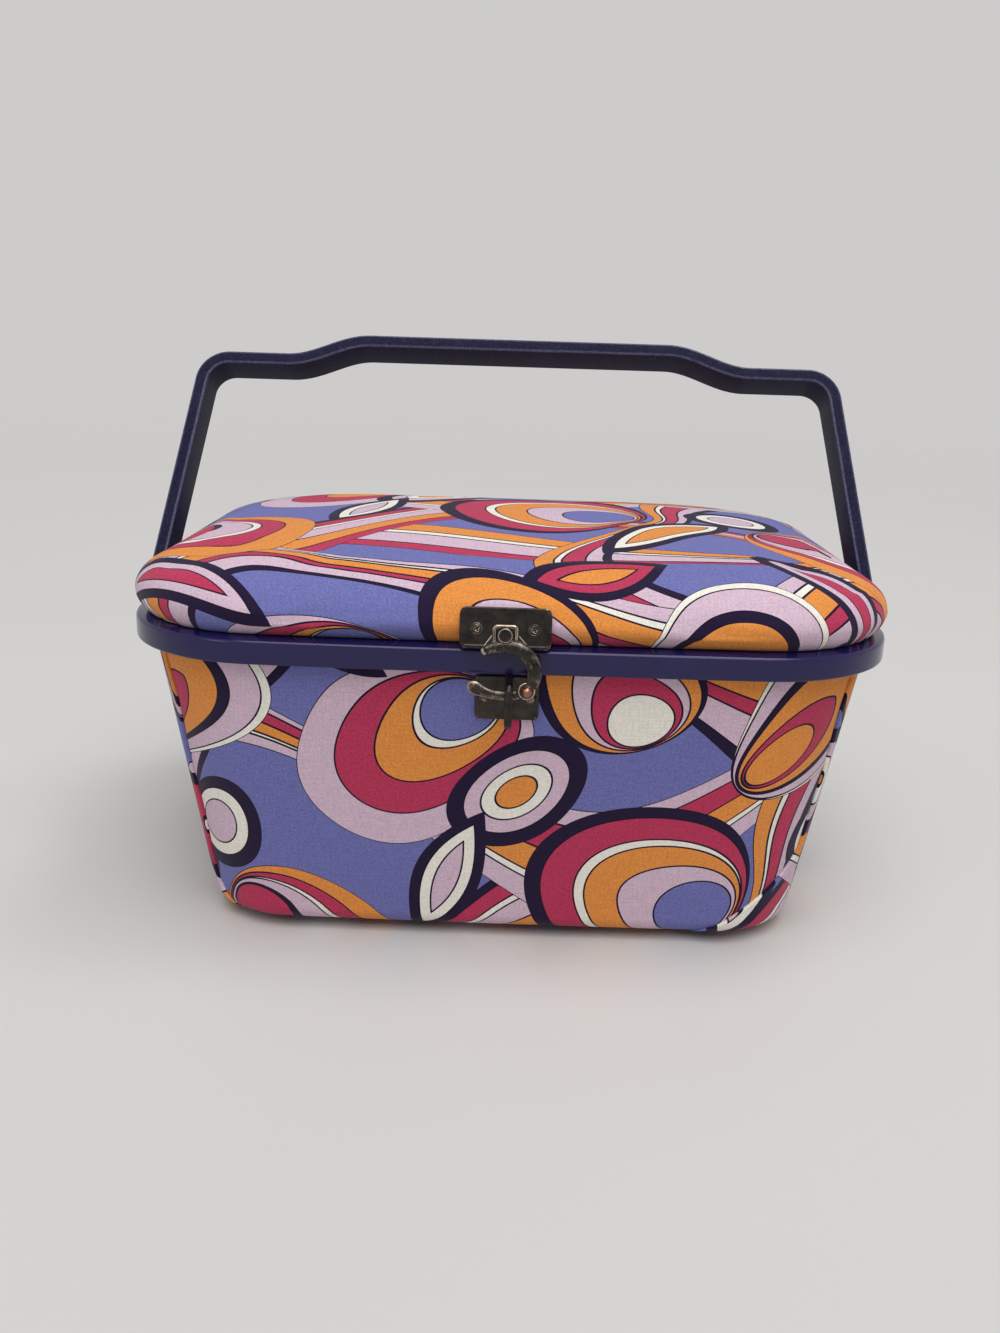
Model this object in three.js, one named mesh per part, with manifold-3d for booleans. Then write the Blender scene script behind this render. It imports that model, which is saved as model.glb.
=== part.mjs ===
// A fabric-covered sewing basket: a tapered tub with a plastic rim, a padded lid on two
// hinges, a swinging carrying handle, a hook clasp and a lift-out notions tray.
// Millimetres. +X is to the right of someone facing the clasp, +Y points to the hinges
// and +Z points up. Z = 0 is the table under the feet.
import * as THREE from "three";
import Module from "manifold-3d";
import { mergeVertices } from "three/addons/utils/BufferGeometryUtils.js";

const wasm = await Module();
wasm.setup();

// Fits that are shared by many pieces
const seatGap = 0.3; // between pieces that touch
const runningGap = 0.35; // round pins that turn
const cutOverrun = 2; // how far a cutter passes through a face
const screwShankShare = 0.6; // of a screw head's radius
const halfTurn = Math.PI;
const quarterTurn = Math.PI / 2;

// Plan of the basket at the rim
const rimHalfWidth = 145;
const rimHalfDepth = 104.8;
const rimCorner = 54;
const frontBow = 2.9; // the long sides swell by this much at their middle
const cornerSteps = 6;
const sideSteps = 4;

// Sides of round pieces
const screwSides = 12;
const pinSides = 16;
const roundSides = 20;
const handleEndSides = 32;
const cornerCurveSteps = 6;

// Heights
const footHeight = 3.7;
const baseZ = footHeight + seatGap;
const tubHeight = 113.1; // from the base to the rim's lower edge
const rimHeight = 9.6;
const rimEdgeHeight = 7.1; // the rim's upright outer face
const rimBottomZ = baseZ + tubHeight;
const rimSeatZ = rimBottomZ + rimHeight;
const rimEdgeZ = rimBottomZ + rimEdgeHeight;

// Tub
const rimOverhangSide = 8;
const rimOverhangFront = 5.5;
const tubTopCorner = 48;
const taperSide = 25; // from the rim in to the base
const taperFront = 25.3;
const baseHalfWidth = rimHalfWidth - taperSide;
const baseHalfDepth = rimHalfDepth - taperFront;
const baseCorner = 34.6;
const baseBow = 1.7;
const bottomRound = 8;
const bottomRoundSteps = 3;
const coverThickness = 1;
const shellThickness = 2.5;
const liningThickness = 0.8;
const hemWidth = 12; // cover turned under the base
const tubIntoRim = 4.9; // how far the tub's wall stands up into the rim
const seamAngle = (35 * Math.PI) / 180; // from the side, round each front corner
const seamGap = 0.3;

// Base
const basePanelThickness = 1;
const footRadius = 6;
const footInset = 20;
const footTaperShare = 0.9;

// Rim ring, as insets from its outer face
const rimBeadInset = 0.7;
const rimBeadShare = 0.7; // of the way from the edge to the shoulder
const rimShoulderInset = 2.2;
const rimShoulderDrop = 0.6;
const rimSeatInset = 4.2;
const rimFaceThickness = 4.3;
const lipOuterInset = 17;
const lipInnerInset = 19.2;
const lipHeight = 4.2;
const ledgeDrop = 5.9; // below the lid's seat
const ledgeZ = rimSeatZ - ledgeDrop;
const ledgeInset = 25;
const ledgeThickness = 2.2;
const rimInnerInset = 16.2;

// Handle ears on the rim's ends
const pivotDrop = 9.1; // below the rim's lower edge
const pivotZ = rimBottomZ - pivotDrop;
const earRadius = 9.5;
const earProud = 6.5; // beyond the rim's outer face
const earOuterX = rimHalfWidth + earProud;
const earRootHeight = 3.5; // how far the ear's root climbs the rim's face

// Handle
const handleThickness = 5.5;
const handleEarGap = 0.5;
const handleHalfWidthLow = earOuterX + handleEarGap + handleThickness; // at the pivots
const handleTaper = 16; // how far each leg comes in over the handle's length
const handleHalfWidthHigh = handleHalfWidthLow - handleTaper;
const handleLength = 131;
const handleDepth = 18;
const handleEdgeRound = 1.1;
const handleLean = (26 * Math.PI) / 180;
const legFlatLength = 18; // the legs stand upright this far above their pivots
const handleCorner = 15;
const gripShare = 0.509; // of the handle's upper width, raised for the hand
const gripRampShare = 0.226;
const gripHalfWidth = handleHalfWidthHigh * gripShare;
const gripRampLength = handleHalfWidthHigh * gripRampShare;
const gripRise = 9.8;
const rampSteps = 6;
const cornerArcSteps = 6;

// Handle pivots
const pinRadius = 3;
const pinHeadRadius = 5.5;
const pinHeadThickness = 1.6;
const pinDepthInEar = 10;

// Lid
const lidHalfWidth = rimHalfWidth;
const lidFrontInset = 0.2; // from the rim's outer face
const lidHalfDepth = rimHalfDepth - lidFrontInset;
const lidCornerEase = 1; // the lid's corners are this much tighter than the rim's
const lidCorner = rimCorner - lidCornerEase;
const lidSeatGap = 0.4;
const lidBottomZ = rimSeatZ + lidSeatGap;
const lidBulgeHeight = 8;
const lidBulgeZ = lidBottomZ + lidBulgeHeight;
const lidTuck = 5; // the cover draws in to the lower edge by this much
const lidEdgeRound = 28.5;
const lidEdgeHeight = 16.8;
const lidCrown = 8.3;
const tuckSteps = 2;
const edgeSteps = 4;
const crownShares = [0.7, 0.35];
const lidCoverThickness = 1;
const paddingThickness = 5.2;
const lidShellThickness = 2.4;
const lidLiningThickness = 0.8;
const lidHemWidth = 4;

// Pincushion under the lid's crown
const cushionHalfWidth = 46;
const cushionHalfDepth = 30;
const cushionThickness = 10;
const cushionEndShare = 0.9; // its flat ends, of its widest
const cushionSides = 24;
const cushionRings = 6;

// Notions tray
const trayDepth = 30;
const trayWall = 1.8;
const trayFlangeThickness = 2;
const trayFlangeWidth = 6.4;
const trayTaper = 2;
const trayEdgeGap = 0.5;
const trayDividerShares = [-0.36, 0.3];

// Hinges
const hingeX = 72;
const hingeWidth = 22;
const leafThickness = 1.2;
const knuckleRadius = 2.4;
const hingePinRadius = 1.1;
const hingePinHeadRadius = 1.6;
const hingePinHeadLength = 1.6;
const middleKnuckle = 7.4;
const knuckleGap = 0.3;
const hingeAxisRise = 0.2; // above the lid's seat
const hingeAxisZ = rimSeatZ + hingeAxisRise;
const bodyLeafRise = 0.7; // above the rim's lower edge
const bodyLeafBottomZ = rimBottomZ + bodyLeafRise;
const lidLeafHeight = 14.6;
const lidLeafTopZ = hingeAxisZ + lidLeafHeight;
const hingeScrewRadius = 1.7;
const hingeScrewHead = 0.6;
const hingeScrewSpacing = 12;

// Clasp on the lid
const claspX = -1.2;
const claspTilt = (8 * Math.PI) / 180;
const rivetRise = 4.6; // above the lid's lower edge
const rivetZ = lidBottomZ + rivetRise;
const upperPlateWidth = 32;
const upperPlateHeight = 14.6;
const upperPlateRise = 2.2; // plate's middle above the rivet
const upperPlateCorner = 2.5;
const plateThickness = 1.2;
const plateBevel = 0.3;
const claspScrewX = 10;
const claspScrewRise = 1.9;
const claspScrewRadius = 1.9;
const rivetShank = 1.5;
const rivetHeadRadius = 2.6;
const rivetHeadHeight = 1.2;
const rivetDomeSteps = 5;

// Clasp hook, flat in a plane parallel to the lid's plate
const hookReach = 21; // from the rivet to the middle of the catch bar
const hookThickness = 2.2;
const hookTabWidth = 9;
const hookTabHeight = 7;
const hookTabDrop = 1.05; // how far the tab reaches down towards the arm
const hookTabCorner = 1;
const catchWidth = 3.6;
const catchTipWidth = 4.4;
const catchPointShare = 0.25; // of the bar's width, at its pointed tip
const catchSwellShare = 0.25; // of the bar's length that is thicker at the tip
const catchLeftShare = -0.6; // where the bar's tip is, in reaches left of the rivet
const catchRightShare = 0.42;
const catchSteps = 12;
const knobRadius = 2;
const knobSides = 12;
const knobRings = 8;
const knobShareX = 0.375;
const knobShareZ = -0.905;
// Middle line of the curved arm and its width, as shares of the reach
const armShares = [
  [-0.4, -0.31, 0.035],
  [-0.27, -0.235, 0.11],
  [-0.1, -0.2, 0.17],
  [0.08, -0.19, 0.21],
  [0.26, -0.235, 0.235],
  [0.4, -0.35, 0.25],
  [0.485, -0.52, 0.25],
  [0.49, -0.7, 0.235],
  [0.42, -0.84, 0.21],
  [0.3, -0.92, 0.17],
];

// Clasp on the tub
const lowerPlateX = 0;
const lowerPlateDrop = 10.3; // its middle below the rim's lower edge
const lowerPlateZ = rimBottomZ - lowerPlateDrop;
const lowerPlateWidth = 23;
const lowerPlateHeight = 17.6;
const stapleWire = 1.4; // radius
const stapleDrop = 2.6; // its middle below the middle of the catch bar
const stapleZ = rivetZ - hookReach - stapleDrop;
const stapleHalfHeight = 7.1;
const stapleCorner = 2.8;
const stapleX = 0.6;
const stapleSteps = 26;
const wireSteps = 5;
const lowerScrewX = 8.2;
const lowerScrewRadius = 1.9;
const screwHeadHeight = 0.5;

// Colours
const plasticLook = { color: 0x2c2853, roughness: 0.32, metalness: 0 };
const handleLook = { color: 0x2c2a50, roughness: 0.55, metalness: 0 };
const fabricLook = { color: 0x7a76b8, roughness: 0.9, metalness: 0 };
const boardLook = { color: 0xb9ad98, roughness: 0.9, metalness: 0 };
const foamLook = { color: 0xe8e2d2, roughness: 0.95, metalness: 0 };
const liningLook = { color: 0xb9b2d6, roughness: 0.9, metalness: 0 };
const bronzeLook = { color: 0x3a332c, roughness: 0.45, metalness: 0.9 };
const steelLook = { color: 0x8f8c86, roughness: 0.4, metalness: 0.9 };
const rubberLook = { color: 0x23212b, roughness: 0.8, metalness: 0 };
const trayLook = { color: 0xd9d4e6, roughness: 0.5, metalness: 0 };

// Round-cornered outline, anticlockwise seen from above, with bowed long sides
function outline({ halfWidth, halfDepth, corner, bow }) {
  const points = [];
  const signs = [[1, -1], [1, 1], [-1, 1], [-1, -1]];
  signs.forEach(([sx, sy], quarter) => {
    const cx = sx * (halfWidth - corner);
    const cy = sy * (halfDepth - corner);
    for (let step = 0; step <= cornerSteps; step++) {
      const angle = (quarter - 1 + step / cornerSteps) * quarterTurn;
      points.push([cx + corner * Math.cos(angle), cy + corner * Math.sin(angle)]);
    }
    if (quarter % 2 === 1) {
      const [fromX, y] = points[points.length - 1];
      for (let step = 1; step < sideSteps; step++) {
        points.push([fromX * (1 - (2 * step) / sideSteps), y]);
      }
    }
  });
  return points.map(([x, y]) => [x, y + bow * (y / halfDepth) * (1 - (x / halfWidth) ** 2)]);
}

// One level of a loft
function level(plan, z) {
  return outline(plan).map(([x, y]) => [x, y, z]);
}

// A closed solid through levels that follow its surface outwards. A capped one starts
// and ends in a flat face; a ring joins its last level to its first.
function loft(levels, ring = false) {
  const count = levels[0].length;
  const positions = levels.flat(2);
  const indices = [];
  const bands = ring ? levels.length : levels.length - 1;
  for (let band = 0; band < bands; band++) {
    const low = band * count;
    const high = ((band + 1) % levels.length) * count;
    for (let j = 0; j < count; j++) {
      const next = (j + 1) % count;
      indices.push(low + j, low + next, high + next, low + j, high + next, high + j);
    }
  }
  if (!ring) {
    addCap(positions, indices, levels[0], 0, true);
    addCap(positions, indices, levels[levels.length - 1], (levels.length - 1) * count, false);
  }
  return geometryFrom(positions, indices);
}

function addCap(positions, indices, points, offset, facesDown) {
  const middle = positions.length / 3;
  const sum = points.reduce((a, p) => [a[0] + p[0], a[1] + p[1], a[2] + p[2]], [0, 0, 0]);
  positions.push(...sum.map((value) => value / points.length));
  points.forEach((_, j) => {
    const a = offset + j;
    const b = offset + ((j + 1) % points.length);
    indices.push(middle, facesDown ? b : a, facesDown ? a : b);
  });
}

function geometryFrom(positions, indices) {
  const geometry = new THREE.BufferGeometry();
  geometry.setAttribute("position", new THREE.Float32BufferAttribute(positions, 3));
  geometry.setIndex(indices);
  geometry.computeVertexNormals();
  return geometry;
}

// Booleans
function solidFrom(geometry, matrix = new THREE.Matrix4()) {
  const bare = geometry.clone().applyMatrix4(matrix);
  bare.deleteAttribute("normal");
  bare.deleteAttribute("uv");
  const merged = mergeVertices(bare);
  return new wasm.Manifold(
    new wasm.Mesh({
      numProp: 3,
      vertProperties: Float32Array.from(merged.attributes.position.array),
      triVerts: Uint32Array.from(merged.index.array),
    }),
  );
}

function geometryOf(solid) {
  const mesh = solid.getMesh();
  return geometryFrom(Array.from(mesh.vertProperties), Array.from(mesh.triVerts));
}

function moved(x, y, z) {
  return new THREE.Matrix4().makeTranslation(x, y, z);
}

function boxAt(width, depth, height, x, y, z) {
  return solidFrom(new THREE.BoxGeometry(width, depth, height), moved(x, y, z));
}

// A cylinder whose middle is at x, y, z and whose axis lies along X
function rodAlongX(radius, length, x, y, z, sides = pinSides) {
  const rod = new THREE.CylinderGeometry(radius, radius, length, sides);
  return solidFrom(rod.rotateZ(quarterTurn), moved(x, y, z));
}

// A cylinder whose axis lies along Y
function rodAlongY(radius, length, x, y, z, sides = screwSides) {
  const rod = new THREE.CylinderGeometry(radius, radius, length, sides);
  return solidFrom(rod, moved(x, y, z));
}

function extruded(shape, depth, bevel = 0) {
  return new THREE.ExtrudeGeometry(shape, {
    depth: depth - 2 * bevel,
    bevelEnabled: bevel > 0,
    bevelThickness: bevel,
    bevelSize: bevel,
    bevelOffset: -bevel,
    bevelSegments: 1,
    steps: 1,
    curveSegments: cornerCurveSteps,
  });
}

// A shape drawn in X and Z, given thickness towards -Y from its back at y = 0
function plateFromDrawing(shape, thickness, bevel) {
  const geometry = extruded(shape, thickness, bevel);
  geometry.translate(0, 0, bevel);
  return solidFrom(geometry.rotateX(quarterTurn));
}

function roundedPlate(width, height, corner) {
  const shape = new THREE.Shape();
  const x = width / 2;
  const z = height / 2;
  shape.moveTo(-x + corner, -z);
  shape.lineTo(x - corner, -z);
  shape.absarc(x - corner, -z + corner, corner, -quarterTurn, 0);
  shape.lineTo(x, z - corner);
  shape.absarc(x - corner, z - corner, corner, 0, quarterTurn);
  shape.lineTo(-x + corner, z);
  shape.absarc(-x + corner, z - corner, corner, quarterTurn, halfTurn);
  shape.lineTo(-x, -z + corner);
  shape.absarc(-x + corner, -z + corner, corner, halfTurn, 3 * quarterTurn);
  return shape;
}

// The tub's outside at a height above the bottom round, drawn in by inset
const tubRoundZ = baseZ + bottomRound;

function tubPlan(z, inset) {
  const share = (z - tubRoundZ) / (rimBottomZ - tubRoundZ);
  const mix = (low, high) => low + (high - low) * share;
  return {
    halfWidth: mix(baseHalfWidth, rimHalfWidth - rimOverhangSide) - inset,
    halfDepth: mix(baseHalfDepth, rimHalfDepth - rimOverhangFront) - inset,
    corner: mix(baseCorner, tubTopCorner) - inset,
    bow: mix(baseBow, frontBow),
  };
}

const tubTopZ = rimBottomZ + tubIntoRim;

// Levels of the tub's skin at an inset, from its flat bottom up to its top edge
function tubLevels(inset, bottomInset = 0) {
  const round = bottomRound - inset;
  const levels = [];
  if (bottomInset) levels.push(level(tubPlan(tubRoundZ, inset + bottomInset), baseZ + inset));
  for (let step = 0; step <= bottomRoundSteps; step++) {
    const angle = (step / bottomRoundSteps) * quarterTurn;
    const drawnIn = inset + round * (1 - Math.sin(angle));
    levels.push(level(tubPlan(tubRoundZ, drawnIn), tubRoundZ - round * Math.cos(angle)));
  }
  levels.push(level(tubPlan(tubTopZ, inset), tubTopZ));
  return levels;
}

function tubWall(outer, thickness) {
  const inside = tubLevels(outer + thickness).reverse();
  return loft([...tubLevels(outer), ...inside]);
}

// The cover is turned under the base, so it is a ring that stops at its hem
function coverSolid() {
  const underHem = bottomRound + hemWidth;
  const outside = tubLevels(0, underHem);
  const inside = tubLevels(coverThickness, underHem - coverThickness).reverse();
  return solidFrom(loft([...outside, ...inside], true));
}

function seamWedge(grow) {
  const plan = tubPlan(rimBottomZ, 0);
  const cornerX = plan.halfWidth - plan.corner;
  const cornerY = plan.halfDepth - plan.corner;
  const far = rimHalfWidth + rimHalfDepth;
  const shape = new THREE.Shape();
  shape.moveTo(-cornerX, -cornerY + grow);
  shape.lineTo(-cornerX - far * Math.cos(seamAngle), -cornerY - far * Math.sin(seamAngle) + grow);
  shape.lineTo(0, -cornerY - far - grow);
  shape.lineTo(cornerX + far * Math.cos(seamAngle), -cornerY - far * Math.sin(seamAngle) + grow);
  shape.lineTo(cornerX, -cornerY + grow);
  return solidFrom(extruded(shape, rimSeatZ));
}

function coverFront() {
  return coverSolid().intersect(seamWedge(0));
}

function coverWrap() {
  return coverSolid().subtract(seamWedge(seamGap / Math.cos(seamAngle)));
}

const shellInset = coverThickness + seatGap;
const liningInset = shellInset + shellThickness + seatGap;
const tubInnerInset = liningInset + liningThickness;

// Base
function basePanel() {
  const inset = bottomRound + hemWidth + seatGap;
  const top = baseZ + basePanelThickness;
  return loft([level(tubPlan(tubRoundZ, inset), baseZ), level(tubPlan(tubRoundZ, inset), top)]);
}

function foot(sideX, sideY) {
  const x = sideX * (baseHalfWidth - bottomRound - footInset);
  const y = sideY * (baseHalfDepth - bottomRound - footInset);
  const lowRadius = footRadius * footTaperShare;
  const solid = new THREE.CylinderGeometry(footRadius, lowRadius, footHeight, roundSides);
  return solidFrom(solid.rotateX(quarterTurn), moved(x, y, footHeight / 2));
}

// Rim
function rimPlan(inset) {
  return {
    halfWidth: rimHalfWidth - inset,
    halfDepth: rimHalfDepth - inset,
    corner: rimCorner - inset,
    bow: frontBow,
  };
}

const grooveInnerInset = rimOverhangSide + tubInnerInset + seatGap;

function rimRing() {
  const grooveTop = tubTopZ + seatGap;
  const shoulderZ = rimSeatZ - rimShoulderDrop;
  const profile = [
    [0, rimBottomZ],
    [0, rimEdgeZ],
    [rimBeadInset, rimEdgeZ + (shoulderZ - rimEdgeZ) * rimBeadShare],
    [rimShoulderInset, shoulderZ],
    [rimSeatInset, rimSeatZ],
    [lipOuterInset, rimSeatZ],
    [lipOuterInset, rimSeatZ + lipHeight],
    [lipInnerInset, rimSeatZ + lipHeight],
    [lipInnerInset, ledgeZ],
    [ledgeInset, ledgeZ],
    [ledgeInset, ledgeZ - ledgeThickness],
    [rimInnerInset, rimBottomZ],
    [grooveInnerInset, rimBottomZ],
    [grooveInnerInset, grooveTop],
    [rimFaceThickness, grooveTop],
    [rimFaceThickness, rimBottomZ],
  ];
  return solidFrom(loft(profile.map(([inset, z]) => level(rimPlan(inset), z)), true));
}

// A round-bottomed ear hangs from each end of the rim and holds a handle pivot
function ear(side) {
  const innerX = tubPlan(pivotZ, 0).halfWidth + seatGap;
  const rootX = rimHalfWidth - rimFaceThickness + seatGap;
  const height = rimBottomZ + earRootHeight - pivotZ;
  const tongue = boxAt(earOuterX - innerX, 2 * earRadius, rimBottomZ - pivotZ,
    side * (earOuterX + innerX) / 2, 0, (rimBottomZ + pivotZ) / 2);
  const root = boxAt(earOuterX - rootX, 2 * earRadius, height,
    side * (earOuterX + rootX) / 2, 0, pivotZ + height / 2);
  const end = rodAlongX(earRadius, earOuterX - innerX, side * (earOuterX + innerX) / 2, 0, pivotZ);
  const room = rodAlongX(pinRadius + seatGap, 2 * (pinDepthInEar + seatGap),
    side * earOuterX, 0, pivotZ);
  const wall = solidFrom(loft([
    level(tubPlan(pivotZ - earRadius, -seatGap), pivotZ - earRadius - cutOverrun),
    level(tubPlan(rimBottomZ, -seatGap), rimBottomZ),
  ]));
  return tongue.add(root).add(end).subtract(wall).subtract(room);
}

function rim() {
  const groove = solidFrom(loft([
    level(tubPlan(rimBottomZ, -seatGap), rimBottomZ - cutOverrun),
    level(tubPlan(tubTopZ, -seatGap), tubTopZ + seatGap),
  ]));
  const ears = ear(1).add(ear(-1)).subtract(groove);
  return rimRing().add(ears);
}

// Handle, drawn flat in X and Z with the pivot line at z = 0
const legSlope = (handleHalfWidthLow - handleHalfWidthHigh) / (handleLength - legFlatLength);

function handleMiddleLine() {
  const half = handleThickness / 2;
  const beta = Math.atan(legSlope);
  const shoulder = handleLength - gripRise - half;
  const radius = handleCorner - half;
  const legX = (s) => handleHalfWidthHigh - half / Math.cos(beta) + (handleLength - s) * legSlope;
  const arcStart = shoulder - radius + radius * Math.sin(beta);
  const arcX = legX(arcStart) - radius * Math.cos(beta);
  const lowX = handleHalfWidthLow - half;
  const points = [[lowX, -handleDepth / 2], [lowX, legFlatLength]];
  for (let step = 0; step <= cornerArcSteps; step++) {
    const angle = beta + (step / cornerArcSteps) * (quarterTurn - beta);
    points.push([arcX + radius * Math.cos(angle), shoulder - radius + radius * Math.sin(angle)]);
  }
  for (let step = 0; step <= rampSteps; step++) {
    const share = step / rampSteps;
    const rise = (gripRise * (1 - Math.cos(halfTurn * share))) / 2;
    points.push([gripHalfWidth + gripRampLength * (1 - share), shoulder + rise]);
  }
  return [...points, ...points.map(([x, z]) => [-x, z]).reverse()];
}

// A band of the given widths along a line, as an outline
function band(points, widths) {
  const left = [];
  const right = [];
  points.forEach(([x, z], i) => {
    const [ax, az] = points[Math.max(i - 1, 0)];
    const [bx, bz] = points[Math.min(i + 1, points.length - 1)];
    const length = Math.hypot(bx - ax, bz - az);
    const nx = (-(bz - az) / length) * (widths[i] / 2);
    const nz = ((bx - ax) / length) * (widths[i] / 2);
    left.push(new THREE.Vector2(x + nx, z + nz));
    right.push(new THREE.Vector2(x - nx, z - nz));
  });
  return new THREE.Shape([...left, ...right.reverse()]);
}

function handleBail() {
  const line = handleMiddleLine();
  const shape = band(line, line.map(() => handleThickness));
  const strap = plateFromDrawing(shape, handleDepth, handleEdgeRound);
  const middle = strap.translate([0, handleDepth / 2, 0]);
  const width = 2 * (handleHalfWidthLow + cutOverrun);
  const ends = rodAlongX(handleDepth / 2, width, 0, 0, 0, handleEndSides);
  const height = handleLength + cutOverrun;
  const above = boxAt(width, handleDepth + cutOverrun, height, 0, 0, height / 2);
  const holes = rodAlongX(pinRadius + runningGap, width, 0, 0, 0);
  return middle.intersect(ends.add(above)).subtract(holes);
}

function pivotPin(side) {
  const shank = pinDepthInEar + (handleHalfWidthLow - earOuterX) + runningGap + pinHeadThickness;
  const headX = handleHalfWidthLow + runningGap + pinHeadThickness / 2;
  const shankX = handleHalfWidthLow + runningGap + pinHeadThickness - shank / 2;
  return rodAlongX(pinRadius, shank, side * shankX, 0, pivotZ)
    .add(rodAlongX(pinHeadRadius, pinHeadThickness, side * headX, 0, pivotZ));
}

// Lid
function lidPlan(inset) {
  return {
    halfWidth: lidHalfWidth - inset,
    halfDepth: lidHalfDepth - inset,
    corner: lidCorner - inset,
    bow: frontBow,
  };
}

// Levels of a lid skin at an inset, from its lower edge up to its crown
function lidLevels(inset, bottomZ) {
  const levels = [];
  for (let step = 0; step < tuckSteps; step++) {
    const share = step / tuckSteps;
    const drawnIn = lidTuck * (1 - Math.sin(share * quarterTurn));
    levels.push(level(lidPlan(inset + drawnIn), bottomZ + (lidBulgeZ - bottomZ) * share));
  }
  const reach = lidEdgeRound - inset;
  const height = lidEdgeHeight - inset;
  for (let step = 0; step <= edgeSteps; step++) {
    const angle = (step / edgeSteps) * quarterTurn;
    const plan = lidPlan(inset + reach * (1 - Math.cos(angle)));
    plan.bow *= 1 - step / edgeSteps;
    levels.push(level(plan, lidBulgeZ + height * Math.sin(angle)));
  }
  const flat = { ...lidPlan(lidEdgeRound), bow: 0 };
  crownShares.forEach((share) => {
    const plan = {
      halfWidth: flat.halfWidth * share,
      halfDepth: flat.halfDepth * share,
      corner: flat.corner * share,
      bow: 0,
    };
    levels.push(level(plan, lidBulgeZ + height + lidCrown * (1 - share * share)));
  });
  return levels;
}

function lidLayer(inset, thickness, bottomZ) {
  const inside = lidLevels(inset + thickness, bottomZ).reverse();
  return loft([...inside, ...lidLevels(inset, bottomZ)]);
}

const lidBoardZ = lidBottomZ + lidCoverThickness + seatGap;
const paddingInset = lidCoverThickness + seatGap;
const lidShellInset = paddingInset + paddingThickness + seatGap;
const lidLiningInset = lidShellInset + lidShellThickness + seatGap;
const lidInnerInset = lidLiningInset + lidLiningThickness;

// The cover is turned under the lid's lower edge
function lidCover() {
  const inside = lidLevels(lidCoverThickness, lidBottomZ + lidCoverThickness).reverse();
  const hem = lidPlan(lidTuck + lidCoverThickness + lidHemWidth);
  const hemLevels = [level(hem, lidBottomZ + lidCoverThickness), level(hem, lidBottomZ)];
  return loft([...inside, ...hemLevels, ...lidLevels(0, lidBottomZ)]);
}

function pincushion() {
  const edgeShare = cushionHalfWidth / (lidHalfWidth - lidEdgeRound);
  const ceiling = lidBulgeZ + lidEdgeHeight - lidInnerInset + lidCrown * (1 - edgeShare ** 2);
  const top = ceiling - 2 * seatGap;
  const profile = [new THREE.Vector2(0, 0)];
  for (let step = 0; step <= cushionRings; step++) {
    const angle = (step / cushionRings) * halfTurn - quarterTurn;
    const bulge = cushionEndShare + (1 - cushionEndShare) * Math.cos(angle);
    profile.push(new THREE.Vector2(bulge, (Math.sin(angle) + 1) / 2));
  }
  profile.push(new THREE.Vector2(0, 1));
  const cushion = new THREE.LatheGeometry(profile, cushionSides);
  cushion.rotateX(quarterTurn);
  cushion.scale(cushionHalfWidth, cushionHalfDepth, cushionThickness);
  return solidFrom(cushion, moved(0, 0, top - cushionThickness));
}

// Tray
const trayFlangeInset = lipInnerInset + trayEdgeGap;
const trayBottomZ = ledgeZ + seatGap + trayFlangeThickness - trayDepth;

function tray() {
  const flangeTop = ledgeZ + seatGap + trayFlangeThickness;
  const wallInset = trayFlangeInset + trayFlangeWidth;
  const bodySolid = solidFrom(loft([
    level(rimPlan(wallInset + trayTaper), trayBottomZ),
    level(rimPlan(wallInset), flangeTop),
  ]));
  const flange = solidFrom(loft([
    level(rimPlan(trayFlangeInset), ledgeZ + seatGap),
    level(rimPlan(trayFlangeInset), flangeTop),
  ]));
  const inside = rimPlan(wallInset + trayWall);
  const hollow = solidFrom(loft([
    level(rimPlan(wallInset + trayWall + trayTaper), trayBottomZ + trayWall),
    level(inside, flangeTop + cutOverrun),
  ]));
  const dividerHeight = trayDepth - trayWall - 3 * seatGap;
  const dividers = trayDividerShares.map((share) =>
    boxAt(trayWall, 2 * inside.halfDepth, dividerHeight, share * inside.halfWidth, 0,
      trayBottomZ + dividerHeight / 2));
  const long = boxAt((trayDividerShares[1] - trayDividerShares[0]) * inside.halfWidth, trayWall,
    dividerHeight, ((trayDividerShares[1] + trayDividerShares[0]) * inside.halfWidth) / 2, 0,
    trayBottomZ + dividerHeight / 2);
  const walls = wasm.Manifold.union([...dividers, long]).intersect(bodySolid);
  return bodySolid.add(flange).subtract(hollow).add(walls);
}

// Hinges
function bowAt(x, halfWidth) {
  return frontBow * (1 - (x / halfWidth) ** 2);
}

const hingeBackY = rimHalfDepth + bowAt(hingeX - hingeWidth / 2, rimHalfWidth) + seatGap;
const hingeAxisY = hingeBackY + knuckleRadius;
const endKnuckle = (hingeWidth - middleKnuckle) / 2 - knuckleGap;
const hingeScrewZ = (bodyLeafBottomZ + rimEdgeZ) / 2;
const lidLeafScrewZ = (hingeAxisZ + knuckleRadius + lidLeafTopZ) / 2;

function knuckle(x, length) {
  return rodAlongX(knuckleRadius, length, x, hingeAxisY, hingeAxisZ, roundSides);
}

function pinRoom(x) {
  const room = hingePinRadius + runningGap;
  return rodAlongX(room, hingeWidth + 2 * cutOverrun, x, hingeAxisY, hingeAxisZ);
}

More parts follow.
